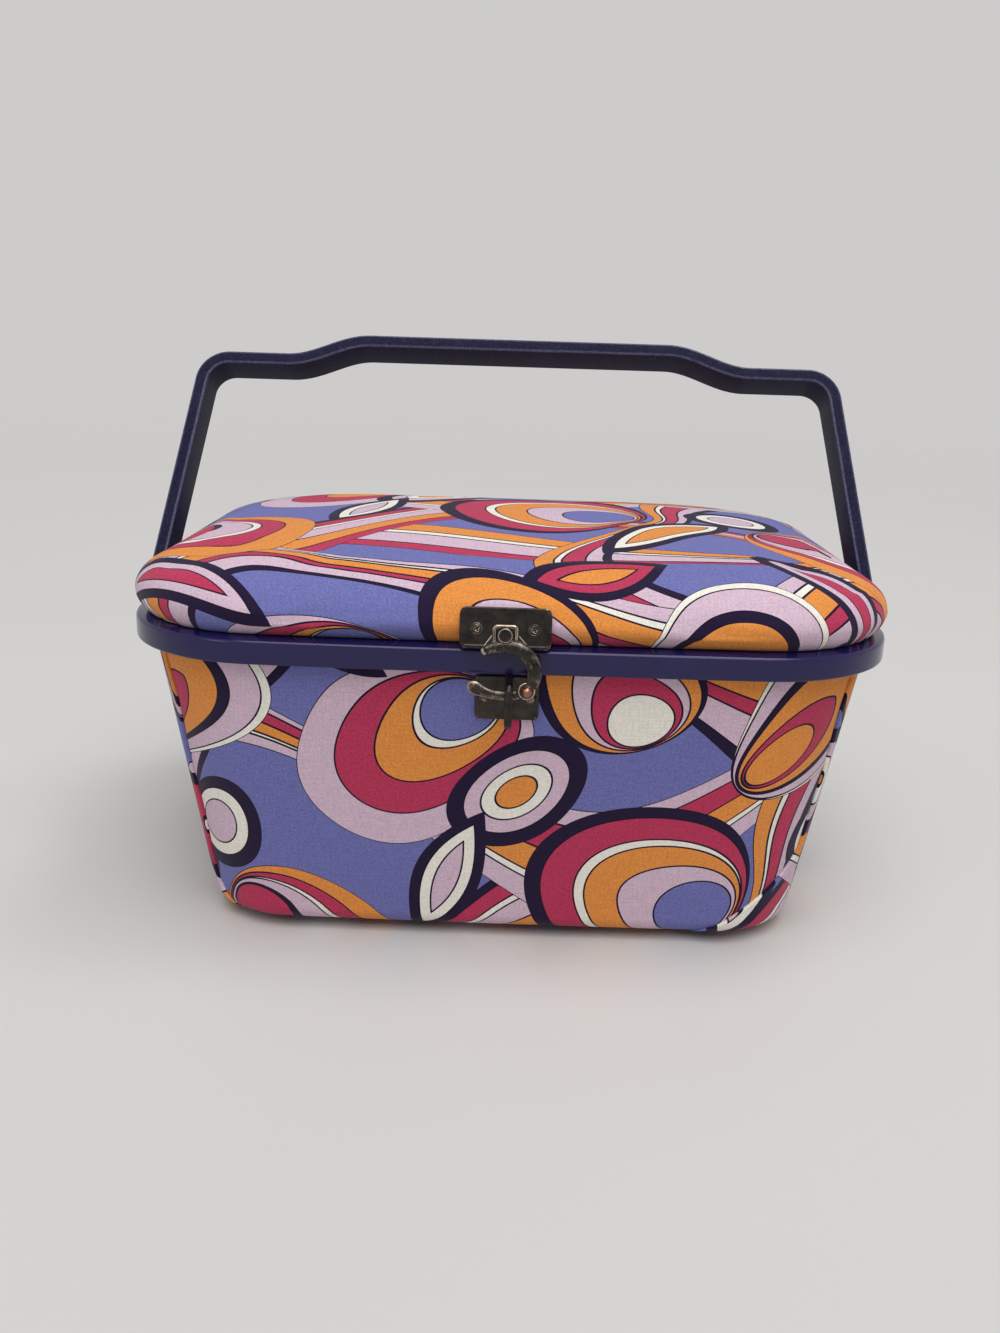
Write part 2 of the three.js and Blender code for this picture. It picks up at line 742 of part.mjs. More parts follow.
function bodyLeaf(side) {
  const x = side * hingeX;
  const y = hingeBackY + leafThickness / 2;
  const endX = (hingeWidth - endKnuckle) / 2;
  const lowTop = hingeAxisZ - knuckleRadius - knuckleGap;
  const leaf = boxAt(hingeWidth, leafThickness, lowTop - bodyLeafBottomZ, x, y,
    (lowTop + bodyLeafBottomZ) / 2);
  const risers = [endX, -endX].map((offset) =>
    boxAt(endKnuckle, leafThickness, hingeAxisZ - bodyLeafBottomZ, x + offset, y,
      (hingeAxisZ + bodyLeafBottomZ) / 2).add(knuckle(x + offset, endKnuckle)));
  return leaf.add(risers[0]).add(risers[1]).subtract(pinRoom(x)).subtract(screwRooms(x, hingeScrewZ));
}

function lidLeaf(side) {
  const x = side * hingeX;
  const y = hingeBackY + leafThickness / 2;
  const highBottom = hingeAxisZ + knuckleRadius + 2 * knuckleGap;
  const leaf = boxAt(hingeWidth, leafThickness, lidLeafTopZ - highBottom, x, y,
    (lidLeafTopZ + highBottom) / 2);
  const riser = boxAt(middleKnuckle, leafThickness, lidLeafTopZ - hingeAxisZ, x, y,
    (lidLeafTopZ + hingeAxisZ) / 2);
  return leaf.add(riser).add(knuckle(x, middleKnuckle))
    .subtract(pinRoom(x)).subtract(screwRooms(x, lidLeafScrewZ));
}

function screwRooms(x, z) {
  const radius = hingeScrewRadius * screwShankShare + seatGap;
  const length = 2 * (leafThickness + cutOverrun);
  return rodAlongY(radius, length, x - hingeScrewSpacing / 2, hingeBackY, z)
    .add(rodAlongY(radius, length, x + hingeScrewSpacing / 2, hingeBackY, z));
}

function hingeScrew(side, place, z) {
  const x = side * hingeX + (place * hingeScrewSpacing) / 2;
  const headBack = hingeBackY + leafThickness + seatGap;
  const shank = leafThickness + seatGap;
  return rodAlongY(hingeScrewRadius, hingeScrewHead, x, headBack + hingeScrewHead / 2, z)
    .add(rodAlongY(hingeScrewRadius * screwShankShare, shank, x, headBack - shank / 2, z));
}

function hingePin(side) {
  const length = hingeWidth + seatGap;
  const x = side * hingeX;
  const headX = x + side * (length + hingePinHeadLength) / 2;
  return rodAlongX(hingePinRadius, length, x, hingeAxisY, hingeAxisZ)
    .add(rodAlongX(hingePinHeadRadius, hingePinHeadLength, headX, hingeAxisY, hingeAxisZ));
}

// Clasp, upper half: drawn with the rivet at the origin and the plate's back at y = 0
const lidFrontY = -(lidHalfDepth + frontBow);
const claspBackY = lidFrontY - 2 * seatGap - (lidBulgeZ - rivetZ) * Math.tan(claspTilt);

function claspScrewRoom(x) {
  const depth = plateThickness + 2 * cutOverrun;
  return rodAlongY(claspScrewRadius + seatGap / 2, depth, x, -plateThickness / 2, claspScrewRise);
}

function upperPlate() {
  const shape = roundedPlate(upperPlateWidth, upperPlateHeight, upperPlateCorner);
  const plate = plateFromDrawing(shape, plateThickness, plateBevel)
    .translate([0, 0, upperPlateRise]);
  const shank = rodAlongY(rivetShank + seatGap, 4 * plateThickness, 0, -plateThickness / 2, 0);
  return plate.subtract(shank)
    .subtract(claspScrewRoom(claspScrewX)).subtract(claspScrewRoom(-claspScrewX));
}

// Flush screws, so that the hook swings over them
function upperScrew(side) {
  const x = side * claspScrewX;
  return rodAlongY(claspScrewRadius, plateThickness, x, -plateThickness / 2, claspScrewRise);
}

const hookBackY = -(plateThickness + seatGap);

function catchBar() {
  const points = [];
  const widths = [];
  for (let step = 0; step <= catchSteps; step++) {
    const share = step / catchSteps;
    const x = (catchLeftShare + (catchRightShare - catchLeftShare) * share) * hookReach;
    const angle = Math.asin(x / hookReach);
    points.push([hookReach * Math.sin(angle), -hookReach * Math.cos(angle)]);
    const swell = (catchTipWidth - catchWidth) * Math.max(0, 1 - share / catchSwellShare);
    widths.push(step === 0 ? catchWidth * catchPointShare : catchWidth + swell);
  }
  return plateFromDrawing(band(points, widths), hookThickness, plateBevel);
}

function hookArm() {
  const points = armShares.map(([x, z]) => [x * hookReach, z * hookReach]);
  const widths = armShares.map(([, , width]) => width * hookReach);
  return plateFromDrawing(band(points, widths), hookThickness, plateBevel);
}

function hook() {
  const tab = plateFromDrawing(
    roundedPlate(hookTabWidth, hookTabHeight + 2 * hookTabDrop, hookTabCorner),
    hookThickness, plateBevel).translate([0, 0, -hookTabDrop]);
  const knob = new THREE.SphereGeometry(knobRadius, knobSides, knobRings);
  const knobPlace = moved(knobShareX * hookReach, -hookThickness - knobRadius / 2,
    knobShareZ * hookReach);
  const room = rodAlongY(rivetShank + seatGap, 4 * hookThickness, 0, 0, 0);
  return catchBar().add(hookArm()).add(tab).add(solidFrom(knob, knobPlace))
    .subtract(room).translate([0, hookBackY, 0]);
}

function rivet() {
  const headBack = hookBackY - hookThickness - seatGap;
  const shank = rodAlongY(rivetShank, -headBack, 0, headBack / 2, 0);
  const dome = new THREE.LatheGeometry(domeProfile(), roundSides);
  return shank.add(solidFrom(dome.rotateX(halfTurn), moved(0, headBack, 0)));
}

function domeProfile() {
  const points = [new THREE.Vector2(0, 0)];
  for (let step = 0; step <= rivetDomeSteps; step++) {
    const angle = (step / rivetDomeSteps) * quarterTurn;
    points.push(new THREE.Vector2(rivetHeadRadius * Math.cos(angle),
      rivetHeadHeight * Math.sin(angle)));
  }
  points[points.length - 1].x = 0;
  return points;
}

// Clasp, lower half
const tubLean = Math.atan(
  (rimHalfDepth - rimOverhangFront - baseHalfDepth) / (rimBottomZ - tubRoundZ));
const lowerPlan = tubPlan(lowerPlateZ, 0);
const lowerBackY = -(lowerPlan.halfDepth + lowerPlan.bow) - seatGap;

function lowerPlate() {
  const shape = roundedPlate(lowerPlateWidth, lowerPlateHeight, upperPlateCorner);
  const rooms = [lowerScrewX, -lowerScrewX].map((x) =>
    rodAlongY(lowerScrewRadius * screwShankShare + seatGap, 4 * plateThickness, x, 0, 0));
  return plateFromDrawing(shape, plateThickness, plateBevel).subtract(rooms[0]).subtract(rooms[1]);
}

function lowerScrew(side) {
  const x = side * lowerScrewX;
  const headBack = -plateThickness - seatGap;
  return rodAlongY(lowerScrewRadius, screwHeadHeight, x, headBack - screwHeadHeight / 2, 0)
    .add(rodAlongY(lowerScrewRadius * screwShankShare, -headBack, x, headBack / 2, 0));
}

// A wire loop that stands out level from the plate, wide enough for the catch bar
const catchFrontY = claspBackY + (hookBackY - hookThickness) / Math.cos(claspTilt)
  - (hookReach + catchTipWidth) * Math.sin(claspTilt);
const stapleFrontY = catchFrontY - 2 * seatGap - stapleWire;

function staple() {
  const plateFrontY = lowerBackY - plateThickness / Math.cos(tubLean);
  const footY = (z) => plateFrontY - seatGap - (z - lowerPlateZ) * Math.tan(tubLean)
    - stapleWire * Math.tan(tubLean);
  const top = stapleZ + stapleHalfHeight;
  const bottom = stapleZ - stapleHalfHeight;
  const path = new THREE.CurvePath();
  const at = (y, z) => new THREE.Vector3(stapleX, y, z);
  const bend = (from, through, to) => new THREE.QuadraticBezierCurve3(from, through, to);
  const turnY = stapleFrontY + stapleCorner;
  path.add(new THREE.LineCurve3(at(footY(top), top), at(turnY, top)));
  path.add(bend(at(turnY, top), at(stapleFrontY, top), at(stapleFrontY, top - stapleCorner)));
  path.add(new THREE.LineCurve3(
    at(stapleFrontY, top - stapleCorner), at(stapleFrontY, bottom + stapleCorner)));
  path.add(bend(
    at(stapleFrontY, bottom + stapleCorner), at(stapleFrontY, bottom), at(turnY, bottom)));
  path.add(new THREE.LineCurve3(at(turnY, bottom), at(footY(bottom), bottom)));
  const section = new THREE.Shape();
  section.absarc(0, 0, stapleWire, 0, 2 * halfTurn);
  return solidFrom(new THREE.ExtrudeGeometry(section, {
    steps: stapleSteps,
    extrudePath: path,
    curveSegments: wireSteps,
  }));
}

// The origin is the middle of the overall footprint, so the basket moves back by half
// the difference between what the staple and the hinges stand out
const frontReach = stapleWire - stapleFrontY;
const backReach = hingeAxisY + knuckleRadius;
const basket = new THREE.Group();
basket.position.y = (frontReach - backReach) / 2;

function add(parent, name, shape, look) {
  const geometry = shape.isBufferGeometry ? shape : geometryOf(shape);
  const mesh = new THREE.Mesh(geometry, new THREE.MeshStandardMaterial(look));
  mesh.name = name;
  parent.add(mesh);
  return mesh;
}

function placedGroup(x, y, z, angle) {
  const group = new THREE.Group();
  group.position.set(x, y, z);
  group.rotation.x = angle;
  basket.add(group);
  return group;
}

add(basket, "body_shell", tubWall(shellInset, shellThickness), boardLook);
add(basket, "body_lining", tubWall(liningInset, liningThickness), liningLook);
add(basket, "body_cover_front", coverFront(), fabricLook);
add(basket, "body_cover_wrap", coverWrap(), fabricLook);
add(basket, "base_panel", basePanel(), boardLook);
[[-1, -1], [1, -1], [1, 1], [-1, 1]].forEach(([sideX, sideY], index) => {
  add(basket, `foot_${index + 1}`, foot(sideX, sideY), rubberLook);
});
add(basket, "rim", rim(), plasticLook);
add(basket, "notions_tray", tray(), trayLook);

const sides = [["left", -1], ["right", 1]];
sides.forEach(([end, side]) => {
  add(basket, `handle_pivot_pin_${end}`, pivotPin(side), plasticLook);
});
const handleGroup = placedGroup(0, 0, pivotZ, -handleLean);
add(handleGroup, "handle_bail", handleBail(), handleLook);

add(basket, "lid_cover", lidCover(), fabricLook);
add(basket, "lid_padding", lidLayer(paddingInset, paddingThickness, lidBoardZ), foamLook);
add(basket, "lid_shell", lidLayer(lidShellInset, lidShellThickness, lidBoardZ), boardLook);
add(basket, "lid_lining", lidLayer(lidLiningInset, lidLiningThickness, lidBoardZ), liningLook);
add(basket, "pincushion", pincushion(), fabricLook);

sides.forEach(([end, side]) => {
  add(basket, `hinge_body_leaf_${end}`, bodyLeaf(side), steelLook);
  add(basket, `hinge_lid_leaf_${end}`, lidLeaf(side), steelLook);
  add(basket, `hinge_pin_${end}`, hingePin(side), steelLook);
  [-1, 1].forEach((place, index) => {
    const body = hingeScrew(side, place, hingeScrewZ);
    const lid = hingeScrew(side, place, lidLeafScrewZ);
    add(basket, `hinge_body_screw_${end}_${index + 1}`, body, steelLook);
    add(basket, `hinge_lid_screw_${end}_${index + 1}`, lid, steelLook);
  });
});

const claspGroup = placedGroup(claspX, claspBackY, rivetZ, -claspTilt);
add(claspGroup, "clasp_upper_plate", upperPlate(), bronzeLook);
sides.forEach(([end, side]) => {
  add(claspGroup, `clasp_upper_screw_${end}`, upperScrew(side), bronzeLook);
});
add(claspGroup, "clasp_hook", hook(), bronzeLook);
add(claspGroup, "clasp_rivet", rivet(), bronzeLook);

const lowerGroup = placedGroup(lowerPlateX, lowerBackY, lowerPlateZ, tubLean);
add(lowerGroup, "clasp_lower_plate", lowerPlate(), bronzeLook);
sides.forEach(([end, side]) => {
  add(lowerGroup, `clasp_lower_screw_${end}`, lowerScrew(side), bronzeLook);
});
add(basket, "clasp_staple", staple(), bronzeLook);

export default basket;
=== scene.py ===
import math

import bpy
import numpy as np
from mathutils import Matrix, Vector


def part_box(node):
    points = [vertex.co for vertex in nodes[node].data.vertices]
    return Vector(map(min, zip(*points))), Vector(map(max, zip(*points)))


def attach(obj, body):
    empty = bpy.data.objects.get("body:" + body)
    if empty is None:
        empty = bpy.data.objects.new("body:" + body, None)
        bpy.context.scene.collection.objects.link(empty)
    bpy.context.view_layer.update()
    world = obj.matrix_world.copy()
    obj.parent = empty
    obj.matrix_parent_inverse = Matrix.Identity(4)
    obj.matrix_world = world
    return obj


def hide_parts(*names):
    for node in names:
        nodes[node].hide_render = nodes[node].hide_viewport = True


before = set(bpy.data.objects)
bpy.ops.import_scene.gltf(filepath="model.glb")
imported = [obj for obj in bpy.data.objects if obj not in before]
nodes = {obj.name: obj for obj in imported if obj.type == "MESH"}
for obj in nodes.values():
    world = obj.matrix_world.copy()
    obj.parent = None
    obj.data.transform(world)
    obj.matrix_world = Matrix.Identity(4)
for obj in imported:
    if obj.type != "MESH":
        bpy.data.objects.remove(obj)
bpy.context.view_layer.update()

basketShift = 3.4812  # the frame's origin lies this far in front of the middle of the rim
toMetres = 0.001
toMm = 1000
quarter = math.pi / 2
fullTurn = 2 * math.pi
bothEnds = (("right", 1), ("left", -1))


def placed(points):
    return (np.asarray(points, float) + (0, basketShift, 0)) * toMetres


def inMm(corner):
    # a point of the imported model, in this file's millimetres
    return np.array(corner) * toMm - (0, basketShift, 0)


def linked(name, data):
    thing = bpy.data.objects.new(name, data)
    bpy.context.scene.collection.objects.link(thing)
    return thing


def smoothed(mesh):
    mesh.polygons.foreach_set("use_smooth", np.ones(len(mesh.polygons), bool))


def readout(items, name, width=1, kind=float):
    # what each item of a mesh says under a name, as rows where it has more than one value
    values = np.zeros(len(items) * width, kind)
    items.foreach_get(name, values)
    return values.reshape(-1, width) if width > 1 else values


def newPiece(name, points, faces, finish, loopUv=None):
    mesh = bpy.data.meshes.new(name)
    mesh.from_pydata(placed(points).tolist(), [], faces)
    if loopUv is not None:
        layer = mesh.uv_layers.new(name="cloth")
        layer.data.foreach_set("uv", np.asarray(loopUv, np.float32).ravel())
    smoothed(mesh)
    mesh.validate()
    mesh.update()
    mesh.materials.append(finish)
    return linked(name, mesh)


def gridFaces(rows, cols, roundCols, roundRows):
    # quad (i, j): corners (i, j), (i, j + 1), (i + 1, j + 1), (i + 1, j), counted round
    i = np.arange(rows if roundRows else rows - 1)[:, None]
    j = np.arange(cols if roundCols else cols - 1)[None, :]
    corners = [(i, j), (i, j + 1), (i + 1, j + 1), (i + 1, j)]
    index = np.stack([(a % rows) * cols + b % cols for a, b in corners], -1)
    return index.reshape(-1, 4), corners


def gridPiece(name, grid, finish, uv=None, roundCols=True, roundRows=False, caps=(False, False)):
    # a skin through rows of points; caps close the first and last row with a fan
    rows, cols = grid.shape[:2]
    quads, corners = gridFaces(rows, cols, roundCols, roundRows)
    points = grid.reshape(-1, 3)
    faces = quads.tolist()
    loops = []
    if uv is not None:
        loops.append(np.stack([uv[a, b] for a, b in corners], -2).reshape(-1, 2))
    j = np.arange(cols)
    for row, wanted in ((0, caps[0]), (rows - 1, caps[1])):
        if not wanted:
            continue
        middle = len(points)
        points = np.vstack([points, grid[row].mean(0)])
        near, far = row * cols + j, row * cols + (j + 1) % cols
        pair = (far, near) if row == 0 else (near, far)
        faces += np.stack([pair[0], pair[1], np.full(cols, middle)], -1).tolist()
        if uv is not None:
            uvPair = (uv[row, j + 1], uv[row, j]) if row == 0 else (uv[row, j], uv[row, j + 1])
            centre = np.broadcast_to(uv[row, :cols].mean(0), (cols, 2))
            loops.append(np.stack([*uvPair, centre], 1).reshape(-1, 2))
    return newPiece(name, points, faces, finish, np.vstack(loops) if uv is not None else None)


def alongProfile(corners, rounds, steps=5):
    # each corner becomes a quadratic curve between points its round away along both sides
    corners = np.asarray(corners, float)
    rounds = np.broadcast_to(np.asarray(rounds, float), len(corners))
    before, after = np.roll(corners, 1, 0), np.roll(corners, -1, 0)
    t = np.linspace(0, 1, steps)[None, :, None]

    def reach(to):
        side = to - corners
        length = np.linalg.norm(side, axis=1, keepdims=True)
        return corners + side / length * np.minimum(rounds[:, None], length * 0.48)

    start, end = reach(before)[:, None], reach(after)[:, None]
    middle = corners[:, None]
    curve = (1 - t) ** 2 * start + 2 * t * (1 - t) * middle + t**2 * end
    return curve.reshape(-1, 2)


# A basis is an origin and its right, up and out directions
def basis(origin, right=(1, 0, 0), up=(0, 0, 1), out=(0, -1, 0)):
    return [np.asarray(v, float) for v in (origin, right, up, out)]


def leaning(origin, lean):
    # faces the front, its top leaning back by lean
    c, s = math.cos(lean), math.sin(lean)
    return basis(origin, (1, 0, 0), (0, s, c), (0, -c, s))


def sideways(x, side, z, y=0.0):
    # faces out of the basket's right end, or out of its left end where side is -1
    return basis((side * x, y, z), (0, side, 0), (0, 0, 1), (side, 0, 0))


def backwards(x, y, z):
    # faces out of the basket's back
    return basis((x, y, z), (-1, 0, 0), (0, 0, 1), (0, 1, 0))


def inBasis(frameOf, a, b, c):
    origin, right, up, out = frameOf
    a, b, c = np.broadcast_arrays(a, b, c)
    return origin + a[..., None] * right + b[..., None] * up + c[..., None] * out


def moved(frameOf, a, b, c):
    return [inBasis(frameOf, np.float64(a), np.float64(b), np.float64(c)), *frameOf[1:]]


def outlineNormals(outline):
    along = np.roll(outline, -1, 0) - np.roll(outline, 1, 0)
    along /= np.linalg.norm(along, axis=1, keepdims=True)
    return np.stack([along[:, 1], -along[:, 0]], -1)


def pathNormals(path):
    along = np.gradient(path, axis=0)
    along /= np.linalg.norm(along, axis=1, keepdims=True)
    return np.stack([along[:, 1], -along[:, 0]], -1)


def slab(name, outline, thickness, edge, frameOf, finish, backEdge=0.0, steps=()):
    # a plate: its outline drawn in by edge * (1 - cos a) while its face rises edge * sin a;
    # steps are further (drawn in, height) pairs on its face
    normals = outlineNormals(outline)
    a = np.linspace(0, quarter, 6)
    drawn = [backEdge, 0.0, *(edge * (1 - np.cos(a))), *(d for d, _ in steps)]
    height = [0.0, backEdge, *(thickness - edge + edge * np.sin(a)), *(h for _, h in steps)]
    rows = [inBasis(frameOf, *(outline - normals * d).T, h) for d, h in zip(drawn, height)]
    for share in (0.75, 0.5, 0.25):
        inner = (outline - normals * drawn[-1]) * share
        rows.append(inBasis(frameOf, *inner.T, height[-1]))
    return gridPiece(name, np.stack(rows), finish, caps=(True, True))


def roundedOutline(width, height, corner, steps=7):
    half = np.array([width / 2 - corner, height / 2 - corner])
    signs = np.array([[1, -1], [1, 1], [-1, 1], [-1, -1]])
    start = np.array([-1, 0, 1, 2]) * quarter
    angle = start[:, None] + np.linspace(0, quarter, steps)
    arc = corner * np.stack([np.cos(angle), np.sin(angle)], -1)
    return (signs[:, None] * half + arc).reshape(-1, 2)


def turned(name, profile, frameOf, finish, sides=32, hollow=False):
    # a profile of (radius, height) pairs, turned about the out direction
    profile = np.asarray(profile, float)
    angle = np.linspace(0, fullTurn, sides, endpoint=False)
    radius, height = profile[:, :1], profile[:, 1:]
    grid = inBasis(frameOf, radius * np.cos(angle), radius * np.sin(angle), height)
    return gridPiece(name, grid, finish, roundRows=hollow, caps=(not hollow, not hollow))


def swept(path, across, through, frameOf, sides=20, squareness=2.0, lift=0.0):
    # a section of half widths across and through, carried along a flat path:
    # point = path + normal * across * cos^(2/n) + out * (through * sin^(2/n) + lift)
    angle = np.linspace(0, fullTurn, sides, endpoint=False)
    c, s = np.cos(angle), np.sin(angle)
    cosine = np.sign(c) * np.abs(c) ** (2 / squareness)
    sine = np.sign(s) * np.abs(s) ** (2 / squareness)
    across, through, lift = [np.broadcast_to(a, len(path))[:, None] for a in (across, through, lift)]
    flat = path[:, None] + pathNormals(path)[:, None] * (across * cosine)[..., None]
    return inBasis(frameOf, flat[..., 0], flat[..., 1], through * sine + lift)


def joined(name, pieces):
    bpy.ops.object.select_all(action="DESELECT")
    for piece in pieces:
        piece.select_set(True)
    bpy.context.view_layer.objects.active = pieces[0]
    bpy.ops.object.join()
    pieces[0].name = name
    pieces[0].data.name = name
    return pieces[0]


def applied(piece, kind, **settings):
    modifier = piece.modifiers.new(kind, kind)
    for key, value in settings.items():
        setattr(modifier, key, value)
    bpy.context.view_layer.objects.active = piece
    bpy.ops.object.modifier_apply(modifier=modifier.name)
    return piece


def shown(piece, body, *stoodFor, slot=None):
    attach(piece, body)
    if stoodFor:
        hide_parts(*stoodFor)
    return piece


def fused(name, pieces, voxel, rounds):
    # several pieces become one skin, which is then smoothed this many times
    piece = joined(name, pieces)
    applied(piece, "REMESH", mode="VOXEL", voxel_size=voxel)
    applied(piece, "SMOOTH", factor=0.5, iterations=rounds)
    smoothed(piece.data)
    return piece


def filledIn(values, knots, count):
    # rows known at some whole numbers, and in even steps between them
    at = np.interp(np.arange(count), knots, np.arange(len(knots)))
    low = np.minimum(at.astype(int), len(knots) - 2)
    share = (at - low)[:, None, None]
    return values[low] * (1 - share) + values[low + 1] * share


swelling = {
    "quality": 6, "mass": 0.15, "tension_stiffness": 12, "compression_stiffness": 12,
    "bending_stiffness": 0.6, "use_pressure": True, "vertex_group_mass": "held",
}


def swollen(grid, heldRows, pressure, cap, frames=20):
    # a coarser copy of a skin swells as cloth with some rows held; how far its points move,
    # at most cap, is then read back onto every point of the skin
    rows, cols = grid.shape[:2]
    someRows = np.unique(np.round(np.linspace(0, rows - 1, rows // 2 + 1)).astype(int))
    someCols = np.arange(0, cols, 3)
    coarse = grid[someRows][:, someCols]
    quads, _ = gridFaces(len(someRows), len(someCols), True, False)
    points = placed(coarse.reshape(-1, 3))
    mesh = bpy.data.meshes.new("swelling")
    mesh.from_pydata(points.tolist(), [], quads.tolist())
    trial = linked("swelling", mesh)
    held = trial.vertex_groups.new(name="held")
    heldShare = np.repeat(np.isin(someRows, heldRows), len(someCols))
    held.add(np.nonzero(heldShare)[0].tolist(), 1.0, "REPLACE")
    cloth = trial.modifiers.new("cloth", "CLOTH")
    for key, value in swelling.items():
        setattr(cloth.settings, key, value)
    cloth.settings.uniform_pressure_force = pressure
    cloth.settings.effector_weights.gravity = 0
    cloth.collision_settings.use_collision = False
    for step in range(1, frames + 1):
        bpy.context.scene.frame_set(step)
    last = trial.evaluated_get(bpy.context.evaluated_depsgraph_get())
    after = readout(last.data.vertices, "co", 3)
    bpy.data.objects.remove(trial)
    bpy.context.scene.frame_set(1)
    shift = (after - points).reshape(coarse.shape) * toMm
    size = np.linalg.norm(shift, axis=-1, keepdims=True)
    shift *= np.minimum(cap / np.maximum(size, 1e-9), 1)
    byRow = filledIn(shift, someRows, rows)
    around = np.concatenate([byRow, byRow[:, :1]], 1).swapaxes(0, 1)
    full = filledIn(around, np.append(someCols, cols), cols).swapaxes(0, 1)
    for _ in range(3):
        full = (np.roll(full, 1, 1) + 2 * full + np.roll(full, -1, 1)) / 4
    print("cloth moved at most", round(float(np.abs(full).max()), 2), "mm")
    return full


def paint(red, green, blue):
    # a colour as seen on a screen, 0 to 255, as the light it stands for
    share = np.array([red, green, blue]) / 255
    light = np.where(share <= 0.04045, share / 12.92, ((share + 0.055) / 1.055) ** 2.4)
    return (*light.tolist(), 1.0)


class Reading:
    # a socket's value, on which sums can be written
    def __init__(self, finish, socket):
        self.finish, self.socket = finish, socket

    def maths(self, operation, *others):
        return self.finish.add("ShaderNodeMath", {"operation": operation}, [self, *others])

    def __add__(self, other): return self.maths("ADD", other)
    def __radd__(self, other): return self.maths("ADD", other)
    def __sub__(self, other): return self.maths("SUBTRACT", other)
    def __mul__(self, other): return self.maths("MULTIPLY", other)
    def __rmul__(self, other): return self.maths("MULTIPLY", other)
    def __truediv__(self, other): return self.maths("DIVIDE", other)
    def __gt__(self, other): return self.maths("GREATER_THAN", other)
    def __lt__(self, other): return self.maths("LESS_THAN", other)
    def __pow__(self, other): return self.maths("POWER", other)

    def __rsub__(self, other):
        return self.finish.add("ShaderNodeMath", {"operation": "SUBTRACT"}, [other, self])


class Finish:
    # one material and its nodes
    def __init__(self, name, **fixed):
        self.material = bpy.data.materials.new(name)
        self.material.use_nodes = True
        self.tree = self.material.node_tree
        self.surface = self.tree.nodes["Principled BSDF"]
        for key, value in fixed.items():
            self.surface.inputs[key.replace("_", " ")].default_value = value

    def add(self, kind, settings=None, inputs=(), output=0):
        node = self.tree.nodes.new(kind)
        for key, value in (settings or {}).items():
            if key == "stops":
                ramp = node.color_ramp.elements
                while len(ramp) < len(value):
                    ramp.new(1.0)
                for element, (position, colour) in zip(ramp, value):
                    element.position = position
                    element.color = colour if hasattr(colour, "__len__") else (colour,) * 3 + (1,)
            elif key == "interpolation":
                node.color_ramp.interpolation = value
            else:
                setattr(node, key, value)
        pairs = inputs.items() if isinstance(inputs, dict) else enumerate(inputs)
        for key, value in pairs:
            if isinstance(value, Reading):
                self.tree.links.new(value.socket, node.inputs[key])
            else:
                node.inputs[key].default_value = value
        return Reading(self, node.outputs[output])

    def ramp(self, value, stops, interpolation="LINEAR"):
        return self.add("ShaderNodeValToRGB", {"stops": stops, "interpolation": interpolation}, [value])

    def mixed(self, factor, first, second):
        return self.add("ShaderNodeMix", {"data_type": "RGBA"}, {0: factor, 6: first, 7: second}, 2)

    def noise(self, vector, scale, detail=2.0, roughness=0.5):
        return self.add("ShaderNodeTexNoise", {}, {
            "Vector": vector, "Scale": scale, "Detail": detail, "Roughness": roughness})

    def objectPoint(self):
        return self.add("ShaderNodeTexCoord", {}, (), "Object")

    def point(self, x, y, z=0.0):
        return self.add("ShaderNodeCombineXYZ", {}, [x, y, z])

    def parted(self, vector):
        # a vector's x, y and z
        node = self.add("ShaderNodeSeparateXYZ", {}, [vector]).socket.node
        return [Reading(self, output) for output in node.outputs]

    def mark(self, name):
        # a value that marked() gave to each point of a piece
        return self.add("ShaderNodeAttribute", {"attribute_name": name}, (), "Fac")

    def feed(self, **links):
        for key, value in links.items():
            self.tree.links.new(value.socket, self.surface.inputs[key.replace("_", " ")])
        return self.material

    def bumped(self, height, strength, distance):
        return self.add("ShaderNodeBump", {}, {
            "Strength": strength, "Distance": distance, "Height": height})


inks = {
    "ground": paint(110, 112, 173),
    "raspberry": paint(184, 54, 88),
    "orange": paint(226, 143, 68),
    "lilac": paint(210, 183, 200),
    "cream": paint(238, 233, 222),
    "aubergine": paint(30, 17, 50),
    "line": paint(24, 14, 42),
}
repeat = {"wide": 248.0, "tall": 196.0, "line": 0.35}  # the print's repeat and half its line's width


